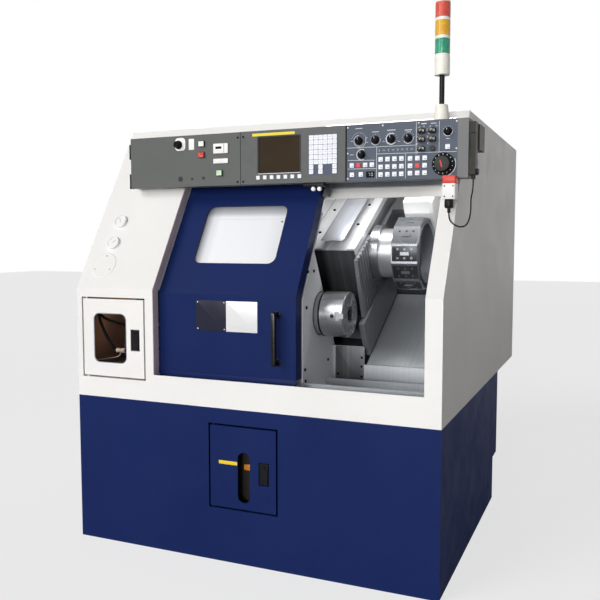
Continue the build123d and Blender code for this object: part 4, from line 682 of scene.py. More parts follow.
# Operator plate: printed lines, screws and the two-digit readout
line_width = 1.3
line_ends = [
    (335, 1505, 584, 1504), (445.5, 1504, 445.5, 1396), (549, 1477, 549, 1393),
    (585.5, 1581, 585.5, 1472), (664.5, 1580, 664.5, 1479), (447, 1480, 724, 1476),
    (339, 1462, 438, 1459), (339, 1432, 444, 1430),
]
line_parts = []
for left, first, right, last in line_ends:
    run = Vector((right - left, last - first))
    turn = Matrix.Rotation(run.angle_signed(Vector((1, 0))), 4, "Z")
    middle = on_plate((left + right) / 2, (first + last) / 2)
    line_parts.append(put(ink_stroke(run.length, line_width), middle @ turn))
seat_joined("operator_lines", line_parts, "frame", white_ink)
screw_points = [
    (339, 1575.5), (467, 1576.5), (723, 1576), (723, 1486.6), (339.7, 1397.7), (594, 1577),
    (339, 1486),
]
screw_places = [on_plate(x, z) for x, z in screw_points]
seat_screws("operator_screws", 3, 1.8, screw_places, "frame", white_plastic)

readout_place = on_plate(423, 1410)
readout = rounded_ring("readout_frame", width=32, height=22, corner=2, band=2, thickness=1.6, edge=0.3)
seat(readout, readout_place, "frame", black_plastic)
readout_glass = slab("readout_glass", width=28.4, height=18.4, thickness=0.8, edge=0.2)
seat(readout_glass, readout_place, "frame", soft_black)
digit_bars = {
    "top": (0, 5, 0), "bottom": (0, -5, 0),
    "upper_left": (-2.5, 2.5, 90), "upper_right": (2.5, 2.5, 90),
    "lower_left": (-2.5, -2.5, 90), "lower_right": (2.5, -2.5, 90),
}
digits = {
    "readout_zero": (6, list(digit_bars)),
    "readout_one": (-5, ["top", "upper_right", "lower_right"]),
}
for digit_name, (offset, bar_names) in digits.items():
    digit_parts = []
    for bar_name in bar_names:
        across, up, turn = digit_bars[bar_name]
        bar = slab("bar", width=4.2, height=1, thickness=0.25, edge=0.05, segments=1)
        digit_parts.append(put(bar, move(across, up, 0) @ spin(turn)))
    digit_place = readout_place @ move(offset, 0, 0.7)
    seat(join_as(digit_name, digit_parts), digit_place, "frame", white_ink)

# Printed scales round the knobs, and the pointer on each knob
knob_top = 18.9
knob_scales = {
    "mode_knob": ([(19, -30, 240, 1.4), (25, 20, 140, 1.2)], 15),
    "feed_knob": ([(17, 10, 160, 1.6)], 7),
    "rapid_knob": ([(18.5, -40, 260, 2.6)], 12),
    "spindle_knob": ([(18, 10, 160, 1.6)], 9),
    "jog_knob": ([(15, 5, 170, 2)], 7),
    "chuck_knob": ([(18.5, -65, 235, 2.2)], 0),
}
for knob_name, (arcs, ticks) in knob_scales.items():
    here = over_node(knob_name)
    scale_parts = []
    for radius, start, sweep, width in arcs:
        arc = printed_arc("scale_arc", radius, width, ink_height, sweep)
        scale_parts.append(put(arc, here @ spin(start)))
    radius, start, sweep, width = arcs[-1]
    for count in range(ticks):
        turn = spin(start + sweep * count / (ticks - 1))
        scale_parts.append(put(ink_stroke(2.8, 0.9), here @ turn @ move(radius + 3, 0, 0)))
    seat_joined(knob_name + "_scale", scale_parts, "frame", white_ink)
    pointer = slab(knob_name + "_pointer", width=1.6, height=6.5, thickness=1.2, edge=0.3)
    seat(pointer, here @ move(0, 6, knob_top), knob_name, white_ink)

# Selector switches: five moulded knobs, each with a painted highlight in pale olive at its top left, a
# plain button and the print round them
selector_points = [(605, 1549.7), (641.9, 1549.7), (605, 1521.3), (641.9, 1521.3), (605, 1489.9)]
selector_places = [on_plate(x, z) for x, z in selector_points]
selector = rounded_plate("selector", width=25, height=18, corner=6, thickness=15, edge=2)
selector_knobs = repeat(selector, "selector_knobs", selector_places)
seat(selector_knobs, Matrix(), "frame", glossy_black)
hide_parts("selector_switches")
plain_button = turned("plain_button", [(10, 0), (10, 6), (9, 8), (3, 8.6)], sides=24)
seat(plain_button, on_plate(641.9, 1489.9), "frame", cap_grey)
# Pale olive strips at the top left of each knob: a painted highlight
highlight_places = [place @ move(-3, 1.5, 14.9) @ spin(-40) for place in selector_places]
selector_mark = slab("mark", width=3.4, height=9, thickness=0.5, edge=0.15)
seat_copies(selector_mark, "selector_highlights", highlight_places, "frame", olive_highlight_paint)
stroke_points = [
    (587, 1530, 40), (590, 1519, -30), (588, 1507, 70), (623, 1553, 60), (624, 1530, 95),
    (626, 1508, 70), (596, 1563, 30), (612, 1565, 90), (634, 1564, 45), (655, 1565, -40),
    (629, 1540, 20), (590, 1479, 90),
]
stroke_places = [on_plate(x, z) @ spin(turn) for x, z, turn in stroke_points]
seat_copies(ink_stroke(7, 1.5), "selector_strokes", stroke_places, "frame", white_ink)

# Plain bars and arrow marks on the operator plate
bar_sizes = [
    (612, 1574, 18, 3), (645, 1573.5, 20, 2), (693.7, 1520, 12, 1.6), (380, 1571, 26, 2),
    (441, 1556, 24, 2), (497.7, 1559, 30, 2.4), (558, 1556, 26, 2.2), (558, 1549.5, 16, 1.4),
    (354, 1481, 14, 1.6), (354, 1528, 8, 1.4), (408, 1537, 7, 1.4), (410, 1522, 7, 1.4),
    (470, 1521, 7, 1.4), (525, 1519, 8, 1.4),
]
bars = [put(ink_stroke(width, height), on_plate(x, z)) for x, z, width, height in bar_sizes]
seat_joined("legend_bars", bars, "frame", white_ink)
arrow_arms = []
for side in (-1, 1):
    arrow_arms.append(put(ink_stroke(6, 1.2), move(0, 2 * side, 0) @ spin(-40 * side)))
arrow = join_as("arrow", arrow_arms)
arrow_places = []
for count in range(8):
    arrow_places.append(on_plate(455 + 16.5 * count, 1491.5) @ spin(90 * (count % 4)))
seat_copies(arrow, "arrow_marks", arrow_places, "frame", faint_ink)

# Handwheel: graduations on the dial, a raised pointer bar and the printed arc behind it
wheel_place = over_node("handwheel")
graduation_count = 14
graduations = []
for count in range(graduation_count):
    turn = spin(90 + 360 * count / graduation_count)
    graduations.append(wheel_place @ turn @ move(32.5, 0, 9.2))
wheel_tick = slab("wheel_tick", width=3.2, height=2, thickness=0.4, edge=0.1)
seat_copies(wheel_tick, "wheel_ticks", graduations, "handwheel", white_ink)
wheel_cap = turned("wheel_cap", [(25, 26), (25, 26.6), (24, 27.2), (2, 27.2)], sides=48)
seat(wheel_cap, wheel_place, "handwheel", cap_grey)
wheel_bar = slab("wheel_pointer", width=4, height=24, thickness=0.6, edge=0.2)
seat(wheel_bar, wheel_place @ spin(14) @ move(-3, 0, 27), "handwheel", red_key)
wheel_arc = printed_arc("wheel_arc", radius=41.5, width=1.8, thickness=ink_height, sweep=110)
seat(wheel_arc, wheel_place @ spin(25), "frame", white_ink)

# Operator keys: one cap with a dished top and a grey mark at its lower right corner, copied to its
# places
key_side = 15.4
key_groups = [
    ([460.5, 485.3, 510.1, 534.9], [1408.6, 1434.7, 1460.7]),
    ([565.4, 590.8, 616.1], [1409.6, 1434.6, 1459.6]),
    ([354.8, 379.4, 404.2, 428.8], [1443.9]),
    ([355.2, 388.4], [1411.5]),
    ([693.7], [1493.3]),
]
red_points = [(590.8, 1434.6), (379.4, 1443.9)]
white_places = []
for columns, rows in key_groups:
    for x in columns:
        for z in rows:
            if (x, z) not in red_points:
                white_places.append(on_plate(x, z))
white_key = key_cap("key", key_side, key_side, key_rise)
operator_keys = repeat(white_key, "operator_keys", white_places)
seat(operator_keys, Matrix(), "frame", key_plastic)
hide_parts("panel_keys")
red_places = [on_plate(x, z) for x, z in red_points]
red_cap = key_cap("key", key_side, key_side, key_rise)
seat_copies(red_cap, "red_keys", red_places, "frame", red_key)
corner_places = [place @ move(2.2, -3.2, key_print_level) for place in white_places]
corner_mark = slab("mark", width=6, height=3, thickness=0.25, edge=0.1, segments=1)
seat_copies(corner_mark, "key_marks", corner_places, "frame", key_mark)

# Display unit: keypad on its frame, soft keys, screen lip, seams and the yellow strip
keypad_back = rounded_plate("keypad_back", width=114, height=145, corner=2, thickness=0.5, edge=0.15)
seat(keypad_back, on_display(246, 1487.5), "frame", keypad_blue)
pad_places = []
for row in range(8):
    for column in range(6):
        absent = row in (6, 7) and column in (1, 3, 4)
        if not absent:
            pad_places.append(on_display(201 + 18 * column, 1548.3 - 17.375 * row))
pad_key = key_cap("key", width=16.6, height=16.2, rise=key_rise)
seat_copies(pad_key, "keypad_keys", pad_places, "frame", key_plastic)
pad_marks = [place @ move(0, 0, key_print_level) for place in pad_places]
pad_mark = slab("mark", width=6, height=1.4, thickness=0.25, edge=0.1, segments=1)
seat_copies(pad_mark, "keypad_marks", pad_marks, "frame", key_mark)
soft_places = [on_display(-13 + 28 * count, 1413) for count in range(7)]
soft_key = key_cap("key", width=14, height=14, rise=key_rise)
seat_copies(soft_key, "soft_keys", soft_places, "frame", key_plastic)
screen_middle = 72
screen_lip = slab("screen_lip", width=172, height=2.4, thickness=1.2, edge=0.3)
seat(screen_lip, on_display(screen_middle, 1426.6), "frame", white_ink)
screen_frame = rounded_ring(
    "screen_frame", width=176, height=140, corner=5, band=5, thickness=1, edge=0.3
)
seat(screen_frame, on_display(screen_middle, 1493.5), "frame", cap_grey)
yellow_strip = slab("yellow_strip", width=173, height=10, thickness=0.6, edge=0.2)
seat(yellow_strip, on_display(49.5, 1570), "frame", yellow_label)
seams = []
for x, width in ((-88, 3.4), (333.2, 4)):
    seam = slab("seam", width=width, height=196, thickness=0.4, edge=0.1, segments=1)
    seams.append(put(seam, on_plate(x, 1487)))
seat_joined("panel_seams", seams, "frame", soft_black)
corner_screws = [
    on_plate(-100, 1565), on_display(-75, 1565.5), on_plate(-101.5, 1400), on_display(-76.5, 1400),
]
seat_screws("panel_screws", 4, 2.4, corner_screws, "frame", black_plastic)

# Power plate: white plates behind the switches, socket, label holder, hinges and square buttons
white_plates = {
    "power_switch_plate": ((46.5, 49, 14, 0.22, 0.05), (-352.3, 1552.5)),
    "key_switch_plate": ((24, 42, 2, 0.8, 0.2), (-301.5, 1550)),
    "socket_cover": ((63, 37, 2.5, 5, 0.8), (-171.7, 1528.2)),
    "label_holder": ((63, 18, 2, 5, 0.8), (-171.7, 1481.1)),
}
for plate_name, (sizes, middle) in white_plates.items():
    plate = rounded_plate(plate_name, *sizes)
    seat(plate, on_plate(*middle), "frame", white_plastic)
socket_slot = rounded_plate("socket_slot", width=26, height=9, corner=2, thickness=0.6, edge=0.15)
seat(socket_slot, on_plate(-180, 1531) @ move(0, 0, 4.7), "frame", soft_black)
socket_edge = slab("socket_edge", width=1.4, height=35, thickness=0.4, edge=0.1)
seat(socket_edge, on_plate(-157, 1528.2) @ move(0, 0, 4.8), "frame", cap_grey)
hinge_leaf_depth = 22
hinge_parts = []
for z in (1532.5, 1416):
    leaf = slab("hinge_leaf", width=8, height=57, thickness=hinge_leaf_depth, edge=0.8)
    hinge_parts.append(put(leaf, facing_front(-587.6, z, plate_depth + hinge_leaf_depth)))
    pin = turned("hinge_pin", [(2.6, -29), (3.2, -28), (3.2, 28), (2.6, 29)], sides=16)
    hinge_parts.append(put(pin, facing_up(-588, plate_depth + 1.5, z)))
seat_joined("panel_hinges", hinge_parts, "frame", black_plastic)
button_looks = {
    "power_on_button": ("white_plastic", white_plastic),
    "stop_button": ("red_plastic", red_plastic),
    "start_button": ("green_plastic", green_plastic),
}
for button_name, (button_slot, finish) in button_looks.items():
    here = over_node(button_name)
    side = rounded_plate(button_name + "_side", width=25, height=22, corner=1.5, thickness=5, edge=0.5)
    seat(side, here @ move(0, 0, 2.4), button_name, black_plastic)
    cap = key_cap(button_name + "_cap", width=22, height=19, rise=2.2)
    seat(cap, here @ move(0, 0, 6.8), button_name, finish)
    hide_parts(button_name)

# Blank round plugs in the power plate's lower right corner
blank_parts = []
for x, z, radius in ((-353, 1419, 10), (-301, 1418, 4.5), (-250, 1420, 5.5)):
    blank_steps = [(radius, 0), (radius, 1.4), (radius * 0.86, 2.2), (radius * 0.3, 2.4)]
    blank_parts.append(put(turned("plug", blank_steps, sides=28), on_plate(x, z)))
seat_joined("blank_plugs", blank_parts, "frame", cap_grey)

# Bracket under the panel with its two white buffers
bracket = slab("panel_bracket", width=80, height=34, thickness=14, edge=1.5)
seat(bracket, facing_up(205, 195, 1374.5), "frame", black_plastic)
buffer = turned("buffer", [(7, 0), (8, 1), (8, 9), (6.5, 11), (3, 11.6)], sides=20)
buffer_places = [facing_front(x, 1366, 186) for x in (205, 229)]
seat_copies(buffer, "panel_buffers", buffer_places, "frame", white_plastic)

# Front sheet, opened up behind the panel and down past the door's foot, its gutter and header beam
front_sheet = node_copy("front_sheet", "front_frame")
cut_low = 385
cut_high = 520
header_cutter = slab(
    "header_cutter", width=opening_width, height=cut_high - cut_low, thickness=70, edge=0.1, segments=1
)
cut_away(front_sheet, put(header_cutter, slant_at(opening_middle, (cut_low + cut_high) / 2, 60)))
sill_cutter = slab("sill_cutter", width=opening_width, height=106, thickness=20, edge=0.1, segments=1)
cut_away(front_sheet, put(sill_cutter, facing_up(opening_middle, 57.1, 660)))
seat(front_sheet, Matrix(), "frame", white_paint)
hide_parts("front_frame")
sill_gutter = slab("sill_gutter", width=opening_width, height=95, thickness=4, edge=0.8)
seat(sill_gutter, facing_up(opening_middle, 51.5, 638), "frame", white_paint)
header_beam = slab("header_beam", width=opening_width, height=80, thickness=4, edge=0.8)
seat(header_beam, slant_at(opening_middle, 500, 102), "frame", white_paint)

# Sliding door: its top and foot, the rails that carry it and the roller bracket
door_left, door_right = [corner.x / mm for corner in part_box("sliding_door")]
door_width = door_right - door_left
door_middle = (door_left + door_right) / 2
door_top_height = 85
door_top = slab(
    "door_top", width=door_width, height=door_top_height, thickness=door_back - door_depth, edge=0.3
)
seat(door_top, slant_at(door_middle, 482.4, door_back), "door", navy_paint)
door_foot = slab("door_foot", width=door_width, height=31.3, thickness=3, edge=0.3)
seat(door_foot, facing_front(door_middle, 670.5, 46), "door", navy_paint)
rails = node_copy("door_runners", "door_rails")
between_rails = 1000
top_shift = (0, door_top_height * sin(slant_angle), door_top_height * cos(slant_angle))
foot_shift = (0, 0, -32)
for is_top, shift in ((True, top_shift), (False, foot_shift)):
    bpy.ops.object.mode_set(mode="EDIT")
    bpy.ops.mesh.select_mode(type="VERT")
    bpy.ops.mesh.select_all(action="DESELECT")
    bpy.ops.object.mode_set(mode="OBJECT")
    for corner in rails.data.vertices:
        corner.select = (corner.co.z > between_rails * mm) == is_top
    bpy.ops.object.mode_set(mode="EDIT")
    bpy.ops.transform.translate(value=Vector(shift) * mm)
    bpy.ops.object.mode_set(mode="OBJECT")
bpy.ops.object.shade_flat()
seat(rails, Matrix(), "frame", slope_steel)
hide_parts("door_rails")
roller_bracket = slab("roller_bracket", width=24, height=62, thickness=12, edge=2)
seat(roller_bracket, slant_at(door_right + 12, 486, 80), "door", box_paint)

# Door window: a thin dark ring round the pane, painted shade standing in for the shaded inner edge of
# the window's recess, then the line and the screw seen in the pane
pane_depth = door_depth + 3
window_edge_shade = rounded_ring(
    "window_edge_shade_ring", width=345, height=256, corner=31.5, band=2, thickness=0.8, edge=0.2
)
seat(window_edge_shade, facing_slant(-91, 1203.5, door_depth), "door", badge_dark)
pane_line = slab("pane_line", width=300, height=1.2, thickness=0.4, edge=0.1, segments=1)
seat(pane_line, facing_slant(-66, 1261, pane_depth), "door", faint_ink)
pane_screw = screw_head("pane_screw", radius=3.4, height=1.6)
seat(pane_screw, facing_slant(68, 1250, pane_depth), "door", soft_black)

# Door plates with their rivets, and the handle's grip and feet
plate_level = 904
door_plates = {
    "door_plate_left": (126, -146.3, "black_plastic", badge_dark),
    "door_plate_right": (127, -19, "gauge", silver_plate),
}
rivet_places = []
for plate_name, (width, middle, plate_slot, finish) in door_plates.items():
    plate = rounded_plate(plate_name, width=width, height=112, corner=2, thickness=1.6, edge=0.4)
    seat(plate, on_door(middle, plate_level), "door", finish)
    for across in (-56, 56):
        for up in (-49, 49):
            rivet_places.append(on_door(middle + across, plate_level + up) @ move(0, 0, 1.5))
rivet = turned("rivet", [(2.6, 0), (2.4, 0.6), (1.6, 1.1), (0.6, 1.3)], sides=12)
seat_copies(rivet, "plate_rivets", rivet_places, "door", gauge_rim)
handle_x = 124
handle_ends = (747, 918)
grip = rounded_plate("grip", width=18, height=191, corner=8, thickness=20, edge=5)
grip_parts = [put(grip, facing_front(handle_x, sum(handle_ends) / 2, 20.5))]
for z in handle_ends:
    leg = rounded_plate("grip_leg", width=17, height=20, corner=5, thickness=36, edge=2)
    grip_parts.append(put(leg, on_door(handle_x, z)))
handle_grip = seat_joined("handle_grip", grip_parts, "door", glossy_black)
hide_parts("door_handle")
foot = turned("handle_foot", [(13, 0), (14, 0.8), (14, 2), (12, 3), (11, 3.4)], sides=28)
foot_places = [on_door(handle_x, z) for z in handle_ends]
seat_copies(foot, "handle_feet", foot_places, "door", black_plastic)

# Base door: yellow strip, lock cylinders on both latches and the oil sight in the slot
door_strip = slab("base_door_strip", width=75, height=13, thickness=0.5, edge=0.15)
seat(door_strip, facing_front(-56.5, 373.5, 0), "base_door", yellow_warn)
for latch, x, z in (("base_latch", 88, 373), ("cabinet_latch", -454, 828)):
    lock = printed_arc(latch + "_lock", radius=4.6, width=1.4, thickness=2.4, sweep=360)
    seat(lock, facing_front(x, z, 0), latch, gauge_rim)
oil_sight = rounded_plate("oil_sight", width=26, height=22, corner=4, thickness=3, edge=0.8)
seat(oil_sight, facing_front(3, 352, 40), "frame", oil_amber)

# Cabinet: window gasket, then the boards, valve block, pipes, fitting and thin tube behind the pane
pipe_radius = 6
cabinet_gasket = rounded_ring(
    "cabinet_gasket", width=154, height=194, corner=26, band=3, thickness=0.4, edge=0.1
)
seat(cabinet_gasket, facing_front(-570, 804, 0), "cabinet_door", key_mark)
board = rounded_plate("cabinet_board", width=300, height=290, corner=4, thickness=3, edge=0.6)
seat(board, facing_front(-566, 806, 466), "frame", back_board.material)
side_board = rounded_plate("cabinet_side_board", width=270, height=430, corner=4, thickness=3, edge=0.6)
seat(side_board, facing_right(-720, 245, 806), "frame", back_board.material)
valve_block = slab("valve_block", width=40, height=40, thickness=60, edge=2)
seat(valve_block, facing_front(-696, 925, 140), "frame", casting)
falling_run = [
    (-698, 96, 906), (-690, 88, 876), (-668, 80, 835), (-650, 80, 803), (-625, 78, 766),
    (-606, 78, 748), (-594, 78, 746),
]
level_run = [
    (-700, 104, 904), (-694, 100, 880), (-665, 100, 866), (-618, 100, 853), (-575, 100, 845),
    (-384, 104, 840),
]
pipes = [pipe("pipe", run, pipe_radius) for run in (falling_run, level_run)]
seat_joined("cabinet_pipes", pipes, "frame", soft_black)
fitting_steps = [(6, 0), (9, 1), (9, 12), (7, 14), (7, 24), (9, 26), (9, 36), (5, 40)]
fitting = turned("pipe_fitting", fitting_steps, sides=24)
seat(fitting, facing_right(-597, 78, 746), "frame", white_plastic)
outlet_run = [(-558, 78, 746), (-520, 80, 746), (-470, 130, 747), (-446, 232, 748)]
outlet = pipe("outlet_pipe", outlet_run, pipe_radius)
seat(outlet, Matrix(), "frame", soft_black)
drain_run = [(-717, 70, 697), (-673, 70, 705), (-600, 70, 718), (-578, 72, 724), (-577, 76, 740)]
drain = pipe("drain_tube", drain_run, radius=1.8)
seat(drain, Matrix(), "frame", faint_ink)

# Gauges on the left slanted face, and the blank round cover under them
gauge_steps = [(27, 0), (27, 8), (26, 11), (23.5, 12), (23, 9.5), (22.6, 9.2)]
gauge_places = [facing_slant(-621, z, 0) for z in (1253, 1168)]
rims = repeat(turned("rim", gauge_steps, sides=40), "gauge_rims", gauge_places)
seat(rims, Matrix(), "frame", gauge_face)
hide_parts("pressure_gauges")
dial = turned("dial", [(22.4, 9.1), (22.2, 9.6), (10, 9.6), (2, 9.7)], sides=40)
seat_copies(dial, "gauge_dials", gauge_places, "frame", gauge_face)
gauge_ticks = []
for place in gauge_places:
    for count in range(19):
        gauge_ticks.append(place @ spin(-45 + 15 * count) @ move(19, 0, 9.6))
seat_copies(ink_stroke(4, 0.8), "gauge_marks", gauge_ticks, "frame", faint_ink)
needle_turns = (118, 48)
needles = []
for place, turn in zip(gauge_places, needle_turns):
    needles.append(place @ spin(turn) @ move(6, 0, 10))
needle = slab("needle", width=21, height=1.3, thickness=0.5, edge=0.15)
seat_copies(needle, "gauge_needles", needles, "frame", key_mark)
cover_steps = [(55, 0), (55, 1.2), (53.5, 2), (50, 2), (49.5, 1.5), (2, 1.5)]
blank_cover = turned("blank_cover", cover_steps, sides=64)
cover_place = facing_slant(-633, 1084, 0)
seat(blank_cover, cover_place, "frame", white_paint)
cover_screws = [cover_place @ spin(turn) @ move(40, 0, 1.4) for turn in (90, 210, 330)]
seat_screws("cover_screws", 4, 2, cover_screws, "frame", gauge_rim)

# Tower light: ribbed lenses
rib_count = 17
rib_pitch = 3
rib_steps = []
for count in range(rib_count):
    low = rib_pitch * count
    rib_steps += [(24.6, low), (25.8, low + 0.8), (25.8, low + 2), (24.6, low + 2.8)]
lens_looks = {
    "green_lens": ("lamp_green", lens_green),
    "amber_lens": ("lamp_amber", lens_amber),
    "red_lens": ("lamp_red", lens_red),
}
for lens_name, (lens_slot, finish) in lens_looks.items():
    low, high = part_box(lens_name)
    lens = turned(lens_name + "_ribbed", rib_steps, sides=40)
    lens_depth = (low.y + high.y) / 2 / mm - front_y
    lens_place = facing_up((low.x + high.x) / 2 / mm, lens_depth, low.z / mm)
    seat(lens, lens_place, "frame", finish)
    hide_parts(lens_name)

# Door switch: red head, white body with its lid screws, black plug with a ribbed relief
switch_x = 710
switch_depth = 145
switch_head = rounded_plate("switch_head", width=44, height=46, corner=4, thickness=26, edge=1.5)
seat(switch_head, facing_up(switch_x, switch_depth, 1368), "frame", red_plastic)
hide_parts("interlock_switch")
switch_body = rounded_plate("switch_body", width=44, height=46, corner=5, thickness=52, edge=1.5)
seat(switch_body, facing_up(switch_x, switch_depth, 1316), "frame", white_plastic)
switch_lid = rounded_plate("switch_lid", width=36, height=42, corner=3, thickness=1, edge=0.4)
seat(switch_lid, facing_front(switch_x, 1342, 122.6), "frame", white_plastic)
lid_screws = [facing_front(x, z, 121.6) for z in (1359, 1325) for x in (696, 724)]
seat_screws("switch_screws", 2.6, 1.2, lid_screws, "frame", black_plastic)
plug_steps = [(4.6, 1272)]
for count in range(3):
    low = 1273 + 4 * count
    plug_steps += [(5.6, low), (5.6, low + 2), (4.8, low + 2.6), (4.8, low + 3.8)]
plug_steps += [(8, 1286), (14, 1288), (15, 1292), (15, 1312), (13, 1316.5)]
switch_plug = turned("switch_plug", plug_steps, sides=28)
seat(switch_plug, facing_up(708, 140, 0), "frame", black_plastic)

# Work area: screws on the guards, the column cover, the jamb liner and what the saddle carries
guard_wall = 198
wall_points = [(200, 1068), (130.5, 938), (346, 718), (116, 714), (121.5, 671.6)]
wall_places = [facing_right(guard_wall, depth, z) for depth, z in wall_points]
wall_places.append(facing_slant(192.5, 1066, 99))
seat_screws("guard_screws", 6, 3.4, wall_places, "frame", soft_black)
plate_points = [(457, 623), (488, 628), (485, 595.5)]
plate_places = [facing_front(x, z, 330) for x, z in plate_points]
seat_screws("plate_screws", 5, 3, plate_places, "frame", soft_black)
column_cover = rounded_plate("column_cover", width=118, height=164, corner=2, thickness=1.2, edge=0.4)
seat(column_cover, facing_front(270, 685, 398), "frame", column_steel)
column_points = [(320, 690), (320, 650), (321, 725), (222, 655)]
column_places = [facing_front(x, z, 396.9) for x, z in column_points]
seat_screws("column_screws", 5, 3, column_places, "frame", soft_black)
liner_depth = 19
upper_middle = 1217.5
upper_depth = liner_depth + (upper_middle - knee_height) * tan(slant_angle)
liner_lean = Matrix.Rotation(-slant_angle, 4, "Z")
lower_liner = slab("lower_liner", width=388, height=34, thickness=0.8, edge=0.2, segments=1)
put(lower_liner, facing_right(opening_left, liner_depth, 800))
upper_liner = slab("upper_liner", width=519, height=29, thickness=0.8, edge=0.2, segments=1)
put(upper_liner, facing_right(opening_left, upper_depth, upper_middle) @ liner_lean)
seat_joined("jamb_liner", [lower_liner, upper_liner], "frame", liner_paint)
cover_level = 863
cover_middle = 1068
cover_length = 408
bolt_points = [(155, 926), (155, 1112), (293, 989), (293, 1152)]
bolt_places = [bed_place(x, along, cover_level, 0) for x, along in bolt_points]
seat_screws("saddle_cover_bolts", 6, 4, bolt_places, "saddle", soft_black)
channel = slab("saddle_cover_channel", width=88, height=cover_length, thickness=0.6, edge=0.2)
seat(channel, bed_place(225, cover_middle, cover_level, 0), "saddle", channel_steel)
seam_places = [bed_place(x, cover_middle, cover_level, 0) for x in (127, 180, 270)]
cover_seam = slab("seam", width=1.6, height=cover_length, thickness=0.8, edge=0.2, segments=1)
seat_copies(cover_seam, "saddle_cover_seams", seam_places, "saddle", cap_grey)
apron = rounded_plate("saddle_apron", width=360, height=300, corner=4, thickness=1.2, edge=0.4)
seat(apron, bed_place(134, 848, 680, 90), "saddle", apron_steel)

# Chuck: a grey collar on the nose, painted the darker grey of the shaded guard wall, a black ring
# behind the body standing in for the shaded gap to the wall, and the screw at the front slot
spindle_depth = 275
spindle_height = 905
# Collar: painted shade, grey to match the guard wall as it looks in shade
collar = printed_arc("chuck_collar", radius=80, width=3, thickness=16, sweep=360, steps=72)
collar_place = facing_right(200, spindle_depth, spindle_height)
seat(collar, collar_place, "spindle", collar_shade_paint)
# Black ring: painted shade for the dark gap between the chuck and the wall
chuck_ring = printed_arc("chuck_ring", radius=83, width=5, thickness=6, sweep=360, steps=72)
ring_place = facing_right(216.6, spindle_depth, spindle_height)
seat(chuck_ring, ring_place, "spindle", soft_black)
slot_steps = [(7.5, 0), (7.5, 1.6), (6.6, 2.2), (3.6, 2.2), (3.4, 0.8)]
slot_screw = turned("chuck_slot_screw", slot_steps, sides=24)
seat(slot_screw, facing_front(274, spindle_height, 190.6), "spindle", cap_grey)

# Turret: lining of the dish, and seats with screw holes on the three lower front flats, painted dark as
# the shade on those flats, which face away from the light
turret_depth = 549.5
turret_height = 1130.2
dish_steps = [(2, -45.9), (96.8, -45.9), (117.2, -0.7), (116.6, -0.7), (96.2, -45.2), (2, -45.2)]
dish_lining = turned("turret_dish", dish_steps, sides=72)
dish_place = facing_right(537, turret_depth, turret_height)
seat(dish_lining, dish_place, "turret", dish_steel)
seat_parts = []
hole_parts = []
for lean in (90, 120, 150):
    flat = facing_up(484, turret_depth, turret_height) @ Matrix.Rotation(radians(lean), 4, "X")
    tool_seat = rounded_plate("tool_seat", width=98, height=58, corner=2, thickness=1.1, edge=0.3)
    seat_parts.append(put(tool_seat, flat @ move(0, 0, 141.05)))
    for across in (-27, 0, 27):
        for up in (-17, 17):
            hole = turned("seat_hole", [(4.2, 0), (4, 0.4), (2.6, 0.4), (2.4, 0.1)], sides=16)
            hole_parts.append(put(hole, flat @ move(across, up, 142)))
# Dark tone of the seats: painted shade of the front and lower flats
seat_joined("tool_seats", seat_parts, "turret", seat_shade_steel)
seat_joined("tool_seat_holes", hole_parts, "turret", ground_steel)

# Pale floor that keeps the shadow, soft daylight, the work lamp and a white surround
bpy.ops.mesh.primitive_plane_add(size=40, location=(0, 0, -0.001))
floor = bpy.context.object
floor.name = "floor"
floor_paint = paint_finish("pale floor", (246, 246, 246), 0.7, 0.1, 0.01)
floor.data.materials.append(floor_paint)
floor_tree = floor_paint.node_tree
floor_glow = floor_tree.nodes.new("ShaderNodeEmission")
floor_path = floor_tree.nodes.new("ShaderNodeLightPath")
floor_share = floor_tree.nodes.new("ShaderNodeMapRange")
floor_share.inputs["To Max"].default_value = 0.7
floor_mix = floor_tree.nodes.new("ShaderNodeMixShader")
floor_tree.links.new(floor_path.outputs["Is Camera Ray"], floor_share.inputs["Value"])
floor_tree.links.new(floor_share.outputs["Result"], floor_mix.inputs["Fac"])
floor_tree.links.new(floor_tree.nodes["Principled BSDF"].outputs["BSDF"], floor_mix.inputs[1])
floor_tree.links.new(floor_glow.outputs["Emission"], floor_mix.inputs[2])
floor_tree.links.new(floor_mix.outputs["Shader"], floor_tree.nodes["Material Output"].inputs["Surface"])

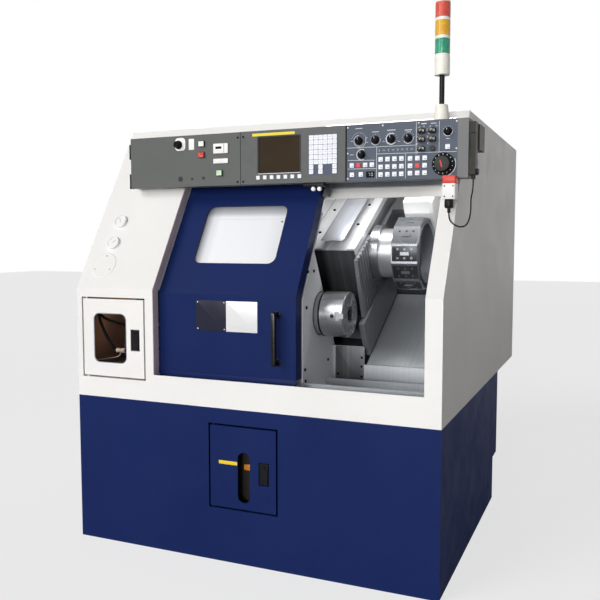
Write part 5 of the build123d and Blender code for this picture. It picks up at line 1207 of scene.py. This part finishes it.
daylights = {
    "soft_key": (1.42, 35, (-0.7, -0.95, 0.6)),
    "front_fill": (1.7, 20, (0, -1, 0.08)),
}
for light_name, (strength, spread, towards) in daylights.items():
    sun_data = bpy.data.lights.new(light_name, "SUN")
    sun_data.energy = strength
    sun_data.angle = radians(spread)
    sun = bpy.data.objects.new(light_name, sun_data)
    sun.rotation_euler = Vector(towards).to_track_quat("Z", "Y").to_euler()
    bpy.context.collection.objects.link(sun)

work_lamp_data = bpy.data.lights.new("work_lamp", "AREA")
work_lamp_data.energy = 4
work_lamp_data.shape = "RECTANGLE"
work_lamp_data.size = 0.5
work_lamp_data.size_y = 0.1
work_lamp = bpy.data.objects.new("work_lamp", work_lamp_data)
work_lamp.location = at(430, 420, 1600)
work_lamp.rotation_euler = (radians(-25), 0, 0)
bpy.context.collection.objects.link(work_lamp)

world = bpy.data.worlds.new("white_surround")
bpy.context.scene.world = world
world.use_nodes = True
sky = world.node_tree
fill_light = sky.nodes["Background"]
fill_light.inputs["Color"].default_value = (1, 1, 1, 1)
fill_light.inputs["Strength"].default_value = 0.11
white_back = sky.nodes.new("ShaderNodeBackground")
white_back.inputs["Color"].default_value = (1, 1, 1, 1)
white_back.inputs["Strength"].default_value = 1
light_path = sky.nodes.new("ShaderNodeLightPath")
seen_or_mirrored = sky.nodes.new("ShaderNodeMath")
seen_or_mirrored.operation = "MAXIMUM"
seen_at_all = sky.nodes.new("ShaderNodeMath")
seen_at_all.operation = "MAXIMUM"
either = sky.nodes.new("ShaderNodeMixShader")
sky.links.new(light_path.outputs["Is Camera Ray"], seen_or_mirrored.inputs[0])
sky.links.new(light_path.outputs["Is Glossy Ray"], seen_or_mirrored.inputs[1])
sky.links.new(seen_or_mirrored.outputs["Value"], seen_at_all.inputs[0])
sky.links.new(light_path.outputs["Is Transmission Ray"], seen_at_all.inputs[1])
sky.links.new(seen_at_all.outputs["Value"], either.inputs["Fac"])
sky.links.new(fill_light.outputs["Background"], either.inputs[1])
sky.links.new(white_back.outputs["Background"], either.inputs[2])
sky.links.new(either.outputs["Shader"], sky.nodes["World Output"].inputs["Surface"])
bpy.context.scene.view_settings.view_transform = "Standard"
